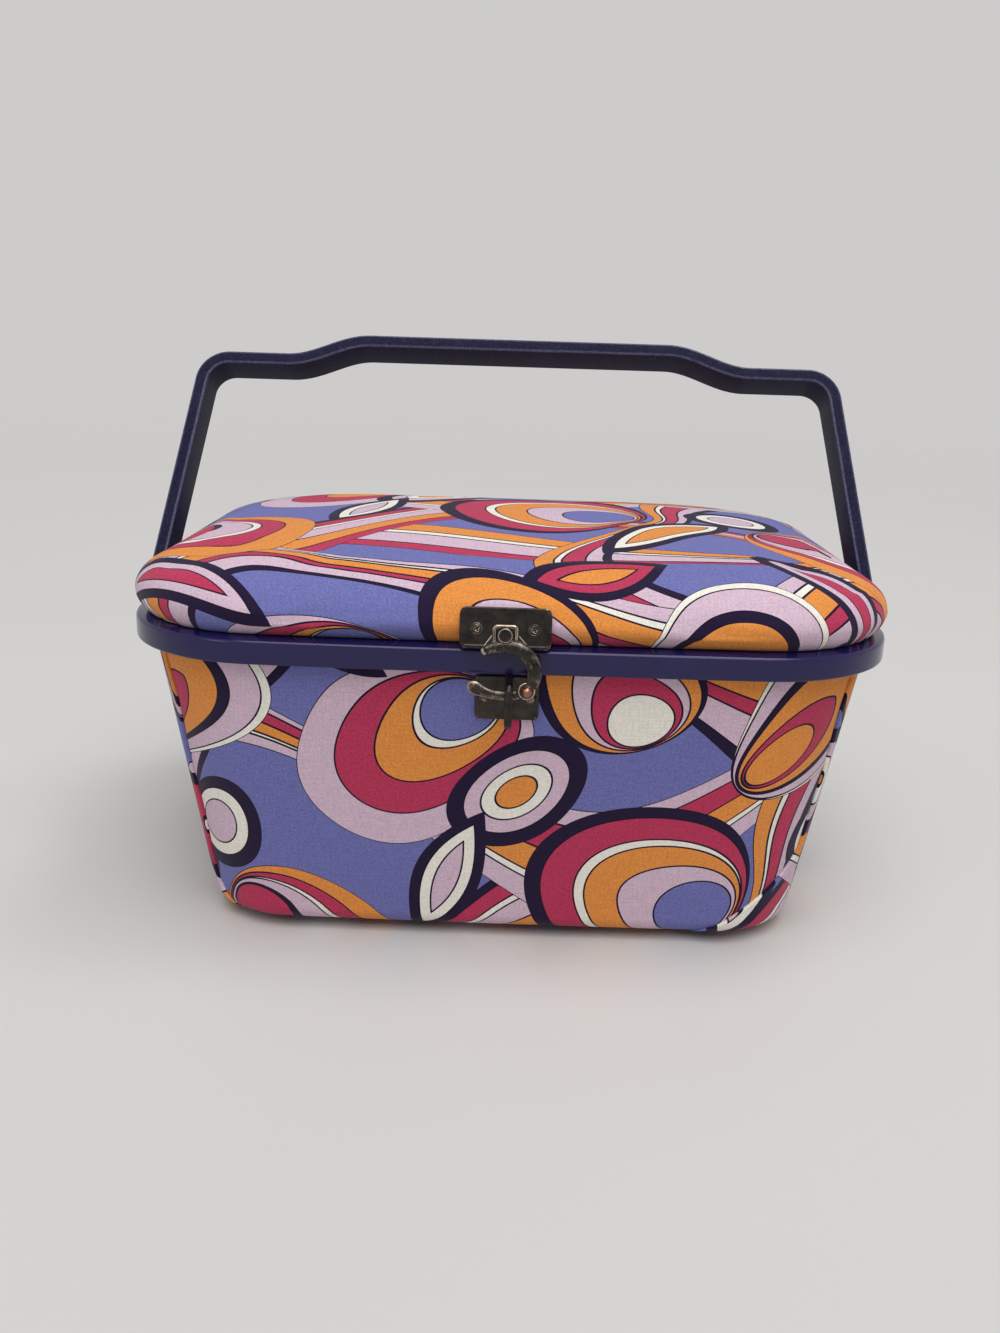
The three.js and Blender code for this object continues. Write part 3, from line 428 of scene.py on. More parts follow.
def printPattern(finish, u, v):
    # the cloth's own print: waves and leaning rings whose stripes share out their width,
    # and discs and leaves banded by depth; everything returns after one repeat
    wide, tall = repeat["wide"], repeat["tall"]

    def sine(value, per, phase):
        return (value * (fullTurn / per) + phase).maths("SINE")

    # the whole drawing is bent a little, so that no edge is a true circle
    x = u + 9 * sine(v, tall, 0.4) + 4.2 * sine(v, tall / 2, 2.1)
    y = v + 8 * sine(u, wide, 1.2) + 4.0 * sine(u, wide / 2, 4.0)

    def offset(value, centre, period):
        return (value - centre).maths("WRAP", period / 2, -period / 2)

    def length(a, b):
        return (a * a + b * b).maths("SQRT")

    colour = None

    def lay(mask, top):
        nonlocal colour
        colour = finish.mixed(mask, inks["ground"] if colour is None else colour, top)

    def shared(t, width, bands):
        # bands are (name, share) pairs; a line is drawn where t is near an edge
        total = sum(share for _, share in bands)
        edges = np.cumsum([0] + [share for _, share in bands]) / total
        fill = finish.ramp(t, [(e, inks[n]) for e, (n, _) in zip(edges, bands)], "CONSTANT")
        stops = []
        for low, high in zip(edges[:-1], edges[1:]):
            stops += [(low, 0.0), ((low + high) / 2, (high - low) / 2)]
        stops.append((1.0, 0.0))
        near = finish.ramp(t, stops) * width
        return finish.mixed(near < repeat["line"], fill, inks["line"])

    def wave(centre, swing, phase, half, swell, swellPhase, bands, upright=False):
        along, over, per, period = (y, x, tall, wide) if upright else (x, y, wide, tall)
        middle = swing * sine(along, per, phase) + 0.28 * swing * sine(along, per / 2, phase * 2.3)
        width = 2 * half * (1 + swell * sine(along, per, swellPhase))
        t = (offset(over, centre, period) - middle) / width + 0.5
        lay((t > 0) * (t < 1), shared(t, width * 0.82, bands))

    def ring(cx, cy, radius, leanX, leanY, inner, bands, heart):
        dx, dy = offset(x, cx, wide), offset(y, cy, tall)
        outside = radius - length(dx, dy * 1.12)
        inside = length(dx - leanX, (dy - leanY) * 1.12) - inner
        width = outside + inside
        lay((outside > 0) * (inside > 0), shared(outside / width, width, bands))
        lay(inside < 0, inks[heart])
        lay((inside.maths("ABSOLUTE") < repeat["line"]) * (outside > 0), inks["line"])

    def banded(depth, bands):
        # bands are (name, width) pairs from the edge inwards
        deepest = sum(width for _, width in bands)
        share = depth / deepest
        edges = np.cumsum([0] + [width for _, width in bands]) / deepest
        fill = finish.ramp(share, [(e, inks[n]) for e, (n, _) in zip(edges, bands)], "CONSTANT")
        lay(depth > 0, fill)
        for edge in edges[1:-1]:
            lay(((share - float(edge)) * deepest).maths("ABSOLUTE") < repeat["line"], inks["line"])

    def disc(cx, cy, radius, bands):
        dx, dy = offset(x, cx, wide), offset(y, cy, tall)
        banded(radius - length(dx, dy), bands)

    def leaf(cx, cy, half, waist, angle, bands):
        # where two circles meet: a pointed leaf, half long and waist wide from its middle
        radius = (half**2 + waist**2) / (2 * waist)
        c, s = math.cos(angle), math.sin(angle)
        dx, dy = offset(x, cx, wide), offset(y, cy, tall)
        along, over = dx * c + dy * s, dy * c - dx * s
        reach = radius - waist
        depth = (radius - length(along, over + reach)).maths(
            "MINIMUM", radius - length(along, over - reach))
        banded(depth, bands)

    wave(0, 15, 1.4, 10, 0.5, 1.0, [("raspberry", 3), ("lilac", 5), ("cream", 1.6), ("orange", 4)])
    wave(30, 25, 0.3, 15, 0.5, 2.0, [
        ("raspberry", 3), ("orange", 4), ("lilac", 5), ("cream", 1.6), ("raspberry", 4),
        ("aubergine", 2)])
    wave(98, 21, 3.9, 17, 0.55, 0.4, [
        ("lilac", 5), ("cream", 1.6), ("orange", 5), ("raspberry", 5), ("lilac", 3)])
    wave(96, 24, 5.2, 15, 0.45, 3.4, [
        ("orange", 4), ("cream", 1.6), ("raspberry", 5), ("lilac", 4), ("aubergine", 2)], upright=True)
    wave(158, 26, 2.2, 16, 0.5, 5.2, [
        ("aubergine", 2), ("lilac", 6), ("raspberry", 3), ("orange", 5), ("cream", 1.6), ("lilac", 3)])
    ring(58, 62, 44, 22, -9, 15, [
        ("aubergine", 2.4), ("raspberry", 5), ("cream", 1.6), ("orange", 5), ("lilac", 6)], "ground")
    ring(178, 20, 40, -20, 10, 13, [
        ("orange", 5), ("raspberry", 4), ("cream", 1.6), ("lilac", 6), ("aubergine", 2)], "raspberry")
    ring(206, 118, 43, 12, 21, 14, [
        ("lilac", 5), ("raspberry", 5), ("orange", 5), ("cream", 1.8)], "ground")
    ring(112, 128, 38, -18, -14, 11, [
        ("cream", 1.6), ("lilac", 5), ("aubergine", 2), ("orange", 6), ("raspberry", 5)], "orange")
    ring(28, 150, 31, 8, -13, 12, [
        ("aubergine", 2.4), ("orange", 5), ("lilac", 4), ("raspberry", 5)], "cream")
    disc(140, 66, 21, [("aubergine", 5.5), ("cream", 5.5), ("lilac", 10.0)])
    disc(4, 104, 24, [("aubergine", 6.0), ("lilac", 6.0), ("cream", 5.0), ("orange", 7.0)])
    leaf(108, 24, 36, 15, 0.7, [("aubergine", 4.5), ("cream", 4.0), ("orange", 6.5)])
    leaf(164, 166, 33, 14, -0.5, [("aubergine", 4.5), ("lilac", 5.0), ("raspberry", 4.5)])
    leaf(232, 66, 32, 13, 1.2, [("aubergine", 4.0), ("cream", 4.5), ("lilac", 4.5)])
    leaf(70, 176, 30, 12, 0.1, [("aubergine", 3.5), ("raspberry", 4.5), ("orange", 4.0)])
    return colour


def clothFinish(name, wash=None, thread=0.5):
    # cotton in one colour, its wash, or with the print where no wash is given
    finish = Finish(name, Specular_IOR_Level=0.16, Sheen_Weight=0.12, Sheen_Roughness=0.45)
    flatX, flatY, _ = finish.parted(finish.add("ShaderNodeUVMap", {"uv_map": "cloth"}))
    u, v = flatX * toMm, flatY * toMm
    colour = wash or printPattern(finish, u, v)
    # threads: plain weave, with slubs along warp and weft
    turn = fullTurn / thread
    weave = (u * turn).maths("SINE") * (v * turn).maths("SINE")
    warp = finish.noise(finish.point(u * 1.1, v * 0.16), 1.0, 3.0)
    weft = finish.noise(finish.point(u * 0.16, v * 1.1, 7.0), 1.0, 3.0)
    grain = finish.noise(finish.point(u, v, 3.0), 0.9, 4.0, 0.7)
    flecks = finish.noise(finish.point(u * 1.25, v * 1.25, 11.0), 1.0, 2.0, 0.7)
    pale = finish.add("ShaderNodeRGBToBW", {}, [colour])  # flecks show less on pale inks
    level = 0.7 + 0.26 * warp + 0.26 * weft + 0.06 * weave
    level = level + 0.1 * (grain - 0.5) + (flecks - 0.5) * (1.25 - pale)
    shade = finish.add("ShaderNodeCombineColor", {}, [level, level, level])
    toned = finish.add("ShaderNodeMix", {"data_type": "RGBA", "blend_type": "MULTIPLY"},
                       {0: 1.0, 6: colour, 7: shade}, 2)
    height = weave * 0.5 + warp + weft
    rough = 0.78 + 0.16 * grain
    return finish.feed(Base_Color=toned, Roughness=rough, Normal=finish.bumped(height, 0.5, 0.00012))


def plasticFinish(name, colour, pale, roughness, speckle, texture, gloss=0.4, edge=None):
    # edge is the colour of a painted highlight along its edges, where the mesh says so; there its coat
    # is raised too
    finish = Finish(name, Specular_IOR_Level=gloss, Coat_Roughness=0.2)
    here = finish.objectPoint()
    fine = finish.noise(here, 2600.0, 2.0, 0.6)
    broad = finish.noise(here, 60.0, 3.0)
    spots = finish.ramp(fine, [(0.56, 0.0), (0.72, 1.0)])
    shade = finish.mixed(spots * speckle + (broad - 0.5) * 0.25, colour, pale)
    rough = roughness + 0.12 * (broad - 0.5) + 0.06 * fine
    if edge:
        grains = finish.noise(here, 1500.0, 3.0, 0.7)
        rubbedAndHighlit = finish.mark("wear") * finish.ramp(grains, [(0.36, 0.2), (0.62, 1.0)])
        # painted highlight: the edge colour lightens the plastic along its edges
        shade = finish.mixed(rubbedAndHighlit * 0.6, shade, edge)
        finish.feed(Coat_Weight=rubbedAndHighlit)
    return finish.feed(Base_Color=shade, Roughness=rough,
                       Normal=finish.bumped(fine + 0.4 * broad, texture, 0.0001))


def marked(piece, name, values):
    # a value for each point of a piece, which its finish reads by name
    layer = piece.data.attributes.new(name, "FLOAT", "POINT")
    layer.data.foreach_set("value", np.asarray(values, np.float32))
    return piece


def metalFinish(name, dark, middle, highlightAndWearColour, roughness, lacquer):
    # dark antique plating, worn to brighter metal along edges, where the mesh says so; that brighter
    # metal is also a painted highlight
    finish = Finish(name, Metallic=0.92, Coat_Weight=lacquer, Coat_Roughness=0.2)
    here = finish.objectPoint()
    cloud = finish.noise(here, 420.0, 4.0, 0.65)
    specks = finish.noise(here, 2400.0, 2.0, 0.6)
    wornAndHighlit = finish.mark("wear")
    rubbedAndHighlit = wornAndHighlit * 1.3 + (cloud - 0.5) * 0.9 + (specks - 0.5) * 0.3
    wearAndHighlightAmount = finish.ramp(rubbedAndHighlit, [(0.18, 0.0), (0.75, 1.0)])
    depth = finish.ramp(finish.noise(here, 190.0, 3.0, 0.6), [(0.36, 0.0), (0.64, 1.0)])
    # the bright colour along edges is worn metal and a painted highlight
    shade = finish.mixed(wearAndHighlightAmount, finish.mixed(depth, dark, middle), highlightAndWearColour)
    bare = finish.mark("copper")
    shade = finish.mixed(bare * (0.55 + 0.45 * cloud), shade, paint(140, 84, 60))
    rough = roughness + 0.25 * (cloud - 0.5) - 0.12 * wearAndHighlightAmount
    return finish.feed(Base_Color=shade, Roughness=rough,
                       Normal=finish.bumped(cloud + specks * 0.5, 0.5, 0.00018))


def wornAndHighlitEdges(piece, gain=1.0):
    # edge wear and painted highlight = how far a point stands out from the middle of its neighbours,
    # along its normal
    points = readout(piece.data.vertices, "co", 3)
    normals = readout(piece.data.vertices, "normal", 3)
    pairs = readout(piece.data.edges, "vertices", 2, int)
    total, count, span = np.zeros_like(points), np.zeros(len(points)), np.zeros(len(points))
    size = np.linalg.norm(points[pairs[:, 0]] - points[pairs[:, 1]], axis=1)
    for near, far in (pairs.T, pairs.T[::-1]):
        np.add.at(total, near, points[far])
        np.add.at(count, near, 1)
        np.add.at(span, near, size)
    count = np.maximum(count, 1)
    out = ((points - total / count[:, None]) * normals).sum(1) / np.maximum(span / count, 1e-7)
    return marked(piece, "wear", np.clip(out * 2.2 * gain, 0, 1))


printedCloth = clothFinish("printed cotton")
liningCloth = clothFinish("lilac lining cotton", paint(190, 180, 220), 0.45)
feltCloth = clothFinish("pincushion velvet", paint(120, 40, 80), 0.7)
rimPlastic = plasticFinish("glossy indigo rim", paint(29, 23, 72), paint(50, 44, 100),
                           roughness=0.13, speckle=0.05, texture=0.03, gloss=0.36)
# its edge colour is a painted highlight
handlePlastic = plasticFinish("grained indigo handle", paint(24, 21, 46), paint(92, 98, 138),
                              roughness=0.4, speckle=0.6, texture=0.3, gloss=0.05,
                              edge=paint(120, 126, 160))
trayPlastic = plasticFinish("milky tray", paint(216, 210, 228), paint(232, 228, 240),
                            roughness=0.4, speckle=0.1, texture=0.1)
footRubber = plasticFinish("dark foot", paint(34, 32, 44), paint(60, 58, 72),
                           roughness=0.7, speckle=0.2, texture=0.3)
# the bright colour of both metals marks worn edges and a painted highlight
bronze = metalFinish("antique bronze", paint(22, 19, 18), paint(56, 47, 41), paint(184, 168, 150),
                     roughness=0.32, lacquer=0.4)
steel = metalFinish("nickelled steel", paint(116, 113, 110), paint(140, 137, 133),
                    paint(212, 209, 204), roughness=0.32, lacquer=0.0)


def boardFinish(name, colour, fleck):
    finish = Finish(name, Specular_IOR_Level=0.2)
    here = finish.objectPoint()
    fibre = finish.noise(here, 900.0, 5.0, 0.7)
    cloud = finish.noise(here, 40.0, 3.0)
    shade = finish.mixed(finish.ramp(fibre, [(0.52, 0.0), (0.75, 1.0)]), colour, fleck)
    return finish.feed(Base_Color=shade, Roughness=0.8 + 0.15 * cloud,
                       Normal=finish.bumped(fibre, 0.3, 0.0001))


greyBoard = boardFinish("grey board", paint(176, 164, 146), paint(120, 108, 96))
print("finishes made")

# Where a share of the way round leads: how far along the front, round a corner and up a side.
# Knots follow the rim's middle height, starting at the front's middle and going right, over
# straight runs and quarter turns of these lengths.
knotFx = np.array([0, 1, 1, 1, 1, -1, -1, -1, -1, 0.0])
knotFy = np.array([-1, -1, -1, 1, 1, 1, 1, -1, -1, -1.0])
knotAngle = np.array([-1, -1, 0, 0, 1, 1, 2, 2, 3, 3.0]) * quarter
knotLength = np.cumsum([0, 91, 85, 101.6, 85, 182, 85, 101.6, 85, 91])
knotShare = knotLength / knotLength[-1]
travelFx = np.cumsum(np.abs(np.diff(knotFx, prepend=0)))
travelFy = np.cumsum(np.abs(np.diff(knotFy, prepend=-1)))


def planAt(share, halfWidth, halfDepth, corner, bow):
    # x = fx * (halfWidth - corner) + corner * cos(angle), and y likewise with the sine;
    # the long sides then swell by bow * (1 - (x / halfWidth)^2)
    share = share % 1.0
    fx, fy = np.interp(share, knotShare, knotFx), np.interp(share, knotShare, knotFy)
    angle = np.interp(share, knotShare, knotAngle)
    x = fx * (halfWidth - corner) + corner * np.cos(angle)
    y = fy * (halfDepth - corner) + corner * np.sin(angle)
    return x, y + bow * (y / halfDepth) * (1 - (x / halfWidth) ** 2), angle


def lengthAt(share, halfWidth, halfDepth, corner):
    # how far round the plan a share lies: its straight runs and its turns added up
    whole, part = np.floor(share), share % 1.0

    def run(s):
        return (np.interp(s, knotShare, travelFx) * (halfWidth - corner)
                + np.interp(s, knotShare, travelFy) * (halfDepth - corner)
                + (np.interp(s, knotShare, knotAngle) + quarter) * corner)

    return run(part) + whole * run(np.float64(1.0))


def ringRows(share, halfWidth, halfDepth, corner, bow, z):
    # one row of points for each entry of the sizes
    *plan, z = [np.atleast_1d(size)[:, None] for size in (halfWidth, halfDepth, corner, bow, z)]
    x, y, _ = planAt(share[None, :], *plan)
    x, y, z = np.broadcast_arrays(x, y, z)
    return np.stack([x, y, z], -1)


tub = {
    "baseZ": 4.0, "round": 8.0, "rimZ": 117.1, "topZ": 121.9,
    "base": (120.0, 79.5, 34.6, 1.7), "top": (137.0, 99.3, 48.0, 2.9),
    "cover": 1.0, "hem": 12.0, "seam": 35.0, "rightVee": 39.0, "leftVee": 16.0, "fold": 0.65,
    "foldRound": 0.8, "foldFade": 6.0, "printUp": 20.0,
}
wallLowZ = tub["baseZ"] + tub["round"]


def tubSizes(z):
    # the plan's half width, half depth, corner and bow at each height of the wall
    share = (z - wallLowZ) / (tub["rimZ"] - wallLowZ)
    low, high = np.array(tub["base"]), np.array(tub["top"])
    return list((low + (high - low) * share[:, None]).T)


def tubProfile(inset, hem, top, roundSteps=10, wallSteps=34):
    # from the hem under the base, round the bottom edge and up the wall: height, height of
    # the plan, drawn in, length
    radius = tub["round"] - inset
    a = np.linspace(0, quarter, roundSteps)
    z = np.concatenate([[tub["baseZ"] + inset] * 2, wallLowZ - radius * np.cos(a),
                        np.linspace(wallLowZ, top, wallSteps)[1:]])
    drawn = np.concatenate([[radius + hem, radius + hem / 2], radius * (1 - np.sin(a)),
                            np.zeros(wallSteps - 1)])
    run = np.concatenate([[0], np.cumsum(np.hypot(np.diff(z), np.diff(drawn)))])
    return z, np.maximum(z, wallLowZ), inset + drawn, run


def tubPanel(name, fromShare, toShare, lift=0.0, fold=0.0, uStart=0.0, cols=260):
    # cloth between two edges, each a share of the way round at every height; near a turned
    # edge it stands out by the fold's roundness
    z, planZ, inset, run = tubProfile(0, tub["hem"], tub["topZ"])
    inset = inset[:, None] - lift
    low, high = fromShare(z), toShare(z)
    t = np.linspace(0, 1, cols)
    t = t - 0.35 * np.sin(fullTurn * t) / fullTurn  # finer near both edges
    share = low[:, None] + (high - low)[:, None] * t
    halfWidth, halfDepth, corner, bow = [s[:, None] for s in tubSizes(planZ)]
    distance = lengthAt(share, halfWidth, halfDepth, corner)

    def skin(drawn):
        x, y, _ = planAt(share, halfWidth - drawn, halfDepth - drawn, corner - drawn, bow)
        return np.stack([x, y, np.broadcast_to(z[:, None], x.shape)], -1)

    fromEdge = np.minimum(distance - distance[:, :1], distance[:, -1:] - distance)
    rounded = np.sqrt(np.clip(fromEdge / tub["foldRound"], 0, 1))
    swell = fold * rounded * np.exp(-fromEdge / tub["foldFade"])
    back = skin(inset + tub["cover"] * 0.9)  # the back of the cloth, so that the panel is closed
    back[:2, :, 2] += tub["cover"] * 0.8
    grid = np.concatenate([skin(inset - swell), back[::-1]], 0)
    along = np.broadcast_to(run[:, None] + tub["printUp"], distance.shape)
    uv = np.stack([distance + uStart, along], -1) * toMetres
    return closedStrip(name, grid, np.concatenate([uv, uv[::-1]], 0))


def closedStrip(name, grid, uv):
    # a tube flattened onto itself: rows go round, and both ends are closed by quads
    rows, cols = grid.shape[:2]
    quads, corners = gridFaces(rows, cols, False, True)
    faces = [quads]
    loops = [np.stack([uv[a % rows, b] for a, b in corners], -2).reshape(-1, 2)]
    i = np.arange(rows // 2 - 1)
    for col, way in ((0, 1), (cols - 1, -1)):
        quads = np.stack([i, i + 1, rows - 2 - i, rows - 1 - i][::way], -1) * cols + col
        faces.append(quads)
        loops.append(uv.reshape(-1, 2)[quads].reshape(-1, 2))
    faces = np.vstack(faces).tolist()
    return newPiece(name, grid.reshape(-1, 3), faces, printedCloth, np.vstack(loops))


cornerStart, cornerEnd = knotShare[1:3]
seamShare = cornerStart + (cornerEnd - cornerStart) * (90 - tub["seam"]) / 90


def droop(z, fromZ):
    # 0 down to a height, then growing to 1 at the base
    return np.clip((fromZ - z) / (fromZ - tub["baseZ"]), 0, 1)


def rightSeam(z):
    # straight down the corner, then across under it, as the side's cloth is folded over;
    # the sine keeps it from being quite straight
    return seamShare - 0.07 * droop(z, tub["rightVee"]) ** 1.15 + 0.0015 * np.sin(z / 9.0)


def leftSeam(z):
    return 1 - seamShare + 0.016 * droop(z, tub["leftVee"]) + 0.0012 * np.sin(z / 7.0 + 1)


underLap = 0.004  # the front's cloth goes on under both folds, by this share of the way round
frontCloth = tubPanel("cover_front_cloth", lambda z: leftSeam(z) - 1 - underLap,
                      lambda z: rightSeam(z) + underLap)
wrapCloth = tubPanel("cover_wrap_cloth", rightSeam, leftSeam, lift=0.75, fold=tub["fold"],
                     uStart=131.0, cols=420)
shown(frontCloth, "basket", "body_cover_front", slot="printed_fabric")
shown(wrapCloth, "basket", "body_cover_wrap", slot="printed_fabric")


def cut(piece, *restsOn):
    # the flat cut of a cloth piece, read from its own map
    flat = readout(piece.data.uv_layers["cloth"].data, "uv", 2)
    starts = readout(piece.data.polygons, "loop_start", kind=int)
    totals = readout(piece.data.polygons, "loop_total", kind=int)


cut(frontCloth, "body_shell")
cut(wrapCloth, "body_shell")
print("tub covered")

fineShares = np.linspace(0, 1, 360, endpoint=False)
lining = {"outer": 4.1, "thick": 0.8, "top": 120.6, "floor": 60.0}


def liningSkin():
    # its outside from the middle of the floor up, then its inside down and back over the floor
    outer, floor, thick = lining["outer"], lining["floor"], lining["thick"]
    grids, uvs = [], []
    for inset, under, way in ((outer, floor + thick, 1), (outer + thick, floor, -1)):
        z, planZ, drawn, run = [a[::way] for a in tubProfile(inset, under, lining["top"])]
        w, d, r, bow = tubSizes(planZ)
        plan = [w - drawn, d - drawn, np.maximum(r - drawn, 2)]
        grids.append(ringRows(fineShares, *plan, bow, z))
        around = lengthAt(np.append(fineShares, 1.0), *[size[:, None] for size in plan])
        uvs.append(np.stack([around, np.broadcast_to(run[:, None], around.shape)], -1))
    return np.concatenate(grids, 0), np.concatenate(uvs, 0) * toMetres


grid, uv = liningSkin()
tubLining = gridPiece("tub_lining_cloth", grid, liningCloth, uv=uv, caps=(True, True))
shown(tubLining, "basket", "body_lining", slot="lining")
cut(tubLining, "body_shell")

rimSizes = (145.0, 104.8, 54.0, 2.9)
rimCorners = [
    (0, 117.1), (0, 124.8), (0.5, 125.75), (2.4, 126.25), (4.6, 126.7), (17, 126.7), (17, 130.9),
    (19.2, 130.9), (19.2, 120.8), (25, 120.8), (25, 118.6), (16.2, 117.1), (13.2, 117.1),
    (13.2, 122.3), (4.3, 122.3), (4.3, 117.1),
]
rimRounds = [0.9, 0.4, 0.4, 0.4, 0.6, 0.8, 0.6, 0.6, 0.6, 0.6, 0.6, 0.6, 0.3, 0.3, 0.3, 0.4]


def ringGrid(profile):
    # (drawn in, height) pairs carried round the rim's plan
    drawn, z = profile.T
    w, d, r, bow = rimSizes
    return ringRows(fineShares, w - drawn, d - drawn, np.maximum(r - drawn, 4), bow, z)


rimGrid = ringGrid(alongProfile(rimCorners, rimRounds))
rimRing = gridPiece("rim_ring", rimGrid, rimPlastic, roundRows=True)
shown(rimRing, "basket", "rim", slot="rim_plastic")

# notions tray: it hangs by its flange on the rim's ledge, with four compartments
tray = {
    "flange": 19.7, "wall": 26.1, "thick": 1.8, "taper": 2.0, "middle": 50.0, "halfWidth": 117.0,
    "lowZ": 93.1, "flangeZ": 121.1, "topZ": 123.1, "walls": (-42.2, 35.1), "wallZ": 120.4,
}


def traySkin():
    # under the floor, up the outside, round the flange, down the inside and over the floor
    t = tray
    inner = t["wall"] + t["thick"]
    floorZ = t["lowZ"] + t["thick"]
    corners = [(t["middle"], t["lowZ"]), (t["wall"] + t["taper"], t["lowZ"]),
               (t["wall"], t["flangeZ"]), (t["flange"], t["flangeZ"]), (t["flange"], t["topZ"]),
               (inner, t["topZ"]), (inner + t["taper"], floorZ), (t["middle"], floorZ)]
    profile = alongProfile(corners, [0.01, 3.0, 0.6, 0.5, 0.9, 0.9, 4.0, 0.01], 8)[7:-7]
    return gridPiece("tray_skin", ringGrid(profile), trayPlastic, caps=(True, True))


def trayWall(low, high, topLow, topHigh, frameOf):
    # a thin wall, rounded along its top, whose ends lean with the tray's side
    base, top = tray["lowZ"] + 0.5, tray["wallZ"]
    outline = alongProfile([(low, base), (high, base), (topHigh, top), (topLow, top)], 0.6)
    middle = np.array([(topLow + topHigh) / 2, (base + top) / 2])
    at = moved(frameOf, *middle, -tray["thick"] / 2)
    return slab("tray_wall", outline - middle, tray["thick"], 0.7, at, trayPlastic, backEdge=0.7)


trayParts = [traySkin()]
for x in tray["walls"]:
    bowHere = rimSizes[3] * (1 - (x / tray["halfWidth"]) ** 2)
    reach = rimSizes[1] - tray["wall"] - tray["thick"] / 2 + bowHere
    low = reach - tray["taper"]
    trayParts.append(trayWall(-low, low, -reach, reach, sideways(x, 1, 0)))
trayParts.append(trayWall(*tray["walls"], *tray["walls"], basis((0, 0, 0))))
shown(joined("notions_tray_moulded", trayParts), "tray", "notions_tray", slot="tray_plastic")

pivotZ = 108.0
ear = {"radius": 9.5, "inner": 136.4, "outer": 151.5, "top": 120.6}


def earPiece(name, side):
    # a tongue with a round lower end, standing off the tub's wall
    angle = np.linspace(-math.pi, 0, 25)
    low = ear["radius"] * np.stack([np.cos(angle), np.sin(angle)], -1)
    high = [[x, ear["top"] - pivotZ] for x in (ear["radius"], -ear["radius"])]
    at = sideways(ear["inner"], side, pivotZ)
    return slab(name, np.vstack([low, high]), ear["outer"] - ear["inner"], 1.0, at, rimPlastic)


for end, side in bothEnds:
    shown(earPiece(f"rim_ear_{end}", side), "basket", "rim", slot="rim_plastic")

handle = {
    "low": 157.5, "high": 141.5, "length": 131.0, "thick": 5.5, "depth": 18.0, "lean": 26.0,
    "flat": 18.0, "corner": 15.0, "grip": 67.0, "ramp": 37.0, "rise": 9.8, "edge": 1.1,
    "edgeSteps": 6,
}


def handlePath():
    # the middle line, drawn flat: up the leg, round the shoulder, up the ramp and along the grip
    h = handle
    half = h["thick"] / 2
    slope = (h["low"] - h["high"]) / (h["length"] - h["flat"])
    beta = math.atan(slope)
    shoulder = h["length"] - h["rise"] - half
    radius = h["corner"] - half
    arcStart = shoulder - radius + radius * math.sin(beta)
    edgeX = h["high"] - half / math.cos(beta) + (h["length"] - arcStart) * slope
    arcX = edgeX - radius * math.cos(beta)
    lowX = h["low"] - half
    a = np.linspace(0.05, quarter, 14)
    end = np.stack([np.full(14, lowX), -h["depth"] / 2 * np.cos(a)], -1)
    straight = np.stack([np.full(6, lowX), np.linspace(0, h["flat"] - 4, 7)[1:]], -1)
    kink, corner = np.array([lowX, h["flat"]]), np.array([edgeX, arcStart])
    legTop = kink + (corner - kink) * np.linspace(0.06, 1, 22)[:, None]
    a = np.linspace(beta, quarter, 16)[1:]
    bend = np.stack([arcX + radius * np.cos(a), shoulder - radius + radius * np.sin(a)], -1)
    s = np.linspace(0, 1, 22)
    ramp = np.stack([h["grip"] + h["ramp"] * (1 - s),
                     shoulder + h["rise"] * (1 - np.cos(math.pi * s)) / 2], -1)
    grip = np.stack([np.linspace(h["grip"], 0, 16)[1:], np.full(15, shoulder + h["rise"])], -1)
    right = np.vstack([end, straight, legTop, bend, ramp, grip])
    return np.vstack([right, (right * (-1, 1))[::-1][1:]])


def handleStrap():
    # a rounded oblong section carried along the middle line, then leant back about the pivot;
    # below the pivot its depth follows a circle, so that each leg ends round
    h = handle
    path = handlePath()
    half = h["depth"] / 2
    depthShare = np.sqrt(np.maximum(half**2 - np.minimum(path[:, 1], 0) ** 2, 0.02)) / half
    corners = np.array([(-1, -1), (1, -1), (1, 1), (-1, 1.0)])
    section = alongProfile(corners * (h["thick"] / 2, half), h["edge"], h["edgeSteps"])
    flat = path[:, None] + pathNormals(path)[:, None] * section[None, :, :1]
    y, z = section[None, :, 1] * depthShare[:, None], flat[..., 1]
    c, s = math.cos(math.radians(h["lean"])), math.sin(math.radians(h["lean"]))
    return np.stack([flat[..., 0], y * c + z * s, z * c - y * s + pivotZ], -1)


handleGrid = handleStrap()
handlePiece = gridPiece("handle_strap", handleGrid, handlePlastic, caps=(True, True))
# its four edges get a painted highlight, most along their middles; the middles of both ends don't
highlightAcrossEdge = np.sin(np.linspace(0, math.pi, handle["edgeSteps"]))
marked(handlePiece, "wear", np.append(np.tile(highlightAcrossEdge, 4 * len(handleGrid)), [0, 0]))
shown(handlePiece, "handle", "handle_bail", slot="handle_plastic")

buttonX = handle["low"] + 0.35  # just clear of the leg
buttonProfile = [(0.01, 0), (3.0, 0), (5.2, 0), (5.5, 0.3), (5.5, 0.7), (5.2, 1.15), (4.3, 1.45),
                 (2.2, 1.58), (0.01, 1.6)]
for end, side in bothEnds:
    at = sideways(buttonX, side, pivotZ)
    shown(turned(f"handle_pivot_button_{end}", buttonProfile, at, rimPlastic, sides=40), "basket",
          f"handle_pivot_pin_{end}", slot="rim_plastic")
print("rim and handle made")

lid = {
    "sizes": (145.0, 104.6, 53.0, 2.9), "bottomZ": 127.1, "innerZ": 128.4, "bulgeZ": 135.1,
    "tuck": 5.0, "edge": 28.5, "edgeHeight": 16.8, "crown": 8.3, "padInner": 6.5,
    "lining": 9.5, "liningThick": 0.8,
}
lidShares = np.linspace(0, 1, 420, endpoint=False)


